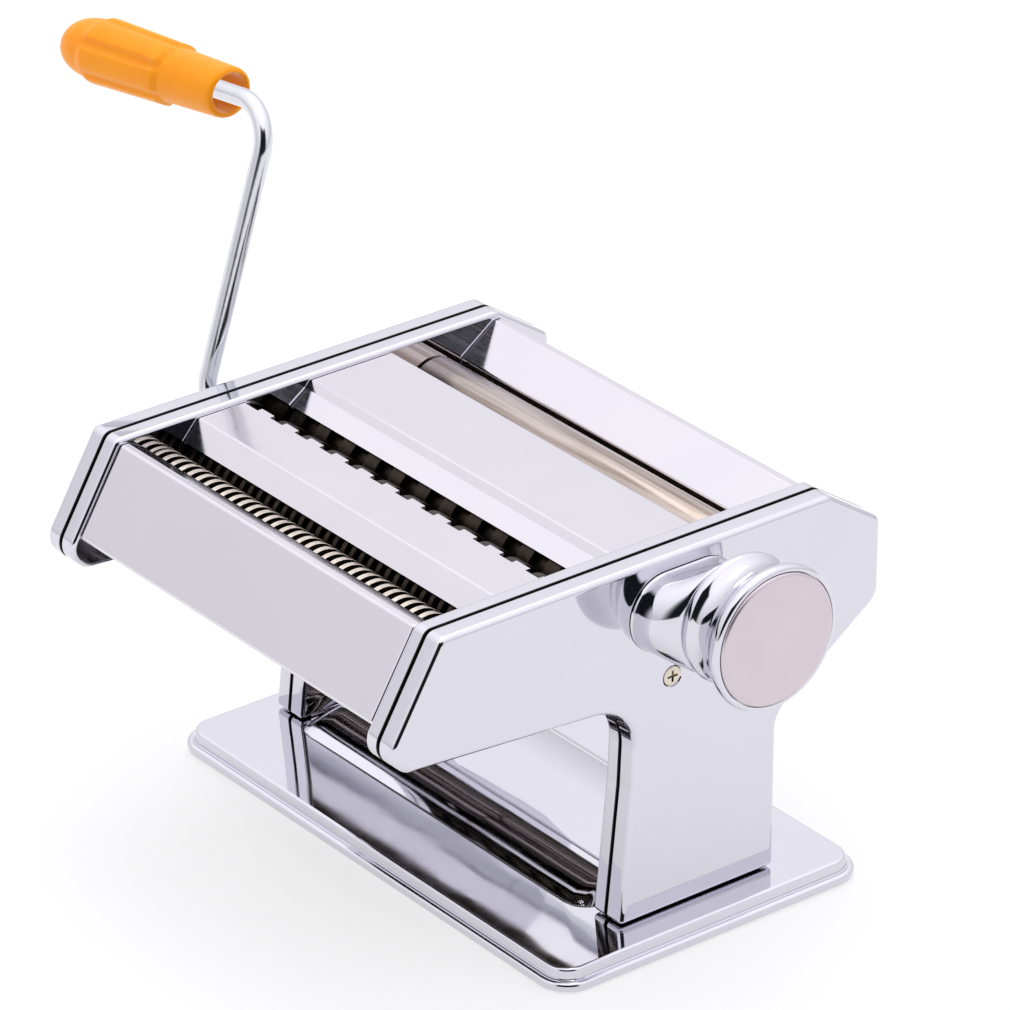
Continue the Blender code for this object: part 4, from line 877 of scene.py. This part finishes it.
# ---------------------------------------------------------------------------------------------------------------
# Grip. A hollow polypropylene handle that spins on the bar: a tapered mouth, six low raised pads to hold it by,
# and a domed end. Moulded in one orange piece.
orange, tree, shader, mm = new_finish("moulded_orange_polypropylene")
shader.inputs["Subsurface Weight"].default_value = 0.25
shader.inputs["Subsurface Scale"].default_value = 0.003
shader.inputs["Subsurface Radius"].default_value = (1.0, 0.35, 0.08)
shader.inputs["Specular IOR Level"].default_value = 0.22
flow = add_node(tree, "ShaderNodeTexNoise", {"Vector": mm, "Scale": 1 / 14.0, "Detail": 3.0})
shade = add_node(tree, "ShaderNodeMix", {0: flow.outputs[0], 6: linear_colour("FF9400"),
                                         7: linear_colour("FFA406")}, data_type="RGBA")
tree.links.new(shade.outputs[2], shader.inputs["Base Color"])
spark = add_node(tree, "ShaderNodeTexNoise", {"Vector": mm, "Scale": 1 / 0.45, "Detail": 2.0})
dull = add_node(tree, "ShaderNodeMapRange", {"Value": spark.outputs[0], "To Min": 0.3, "To Max": 0.46})
tree.links.new(dull.outputs[0], shader.inputs["Roughness"])
eroded = add_node(tree, "ShaderNodeBump", {"Height": spark.outputs[0], "Strength": 0.5, "Distance": 1.5e-5})
tree.links.new(eroded.outputs[0], shader.inputs["Normal"])

GRIP_LENGTH = GRIP_END - GRIP_START
GRIP_ROUND = 96
PADS, PAD_HEIGHT = 6, 1.2
PAD_ENDS = (27.6, 68.4)


def ease(value):
    value = min(max(value, 0.0), 1.0)
    return value * value * (3 - 2 * value)


outer = [(0.0, 7.3), (0.25, 8.0), (0.8, 8.45), (1.6, 8.65)]
outer += [(2.5 + 1.25 * k, 8.7 + (9.75 - 8.7) * (2.5 + 1.25 * k) / 44.0) for k in range(53)]
outer += [(69.5 + (GRIP_LENGTH - 69.5) * math.sin(math.radians(t)), 1.4 + 8.9 * math.cos(math.radians(t)) ** 0.8)
          for t in range(0, 90, 5)]
bore = [(GRIP_LENGTH - 11.6, ROD_R + 0.35), (22.0, ROD_R + 0.35), (14.0, 6.4), (1.2, 6.7), (0.3, 6.85)]
grip_side = grip_way.cross(arm)
loops = []
for number, (reach, radius) in enumerate(bore + outer):
    loop = []
    for k in range(GRIP_ROUND):
        turn = 2 * math.pi * k / GRIP_ROUND
        pad = 0.0
        if number >= len(bore):
            lengthwise = ease((reach - PAD_ENDS[0]) / 1.0) * ease((PAD_ENDS[1] - reach) / 1.4)
            phase = (turn * PADS / (2 * math.pi) + 0.25) % 1.0
            pad = PAD_HEIGHT * lengthwise * ease((0.5 - abs(phase - 0.5) - 0.09) / 0.08)
        loop.append(top + grip_way * (GRIP_START + reach)
                    + (grip_side * math.cos(turn) + arm * math.sin(turn)) * (radius + pad))
    loops.append(loop)
grip = skin("ribbed_grip", loops, orange, 50)
stand_for(grip, "crank_grip")
# The chrome doesn't mirror the grip, so no orange streak falls across the plates.
grip.visible_glossy = False
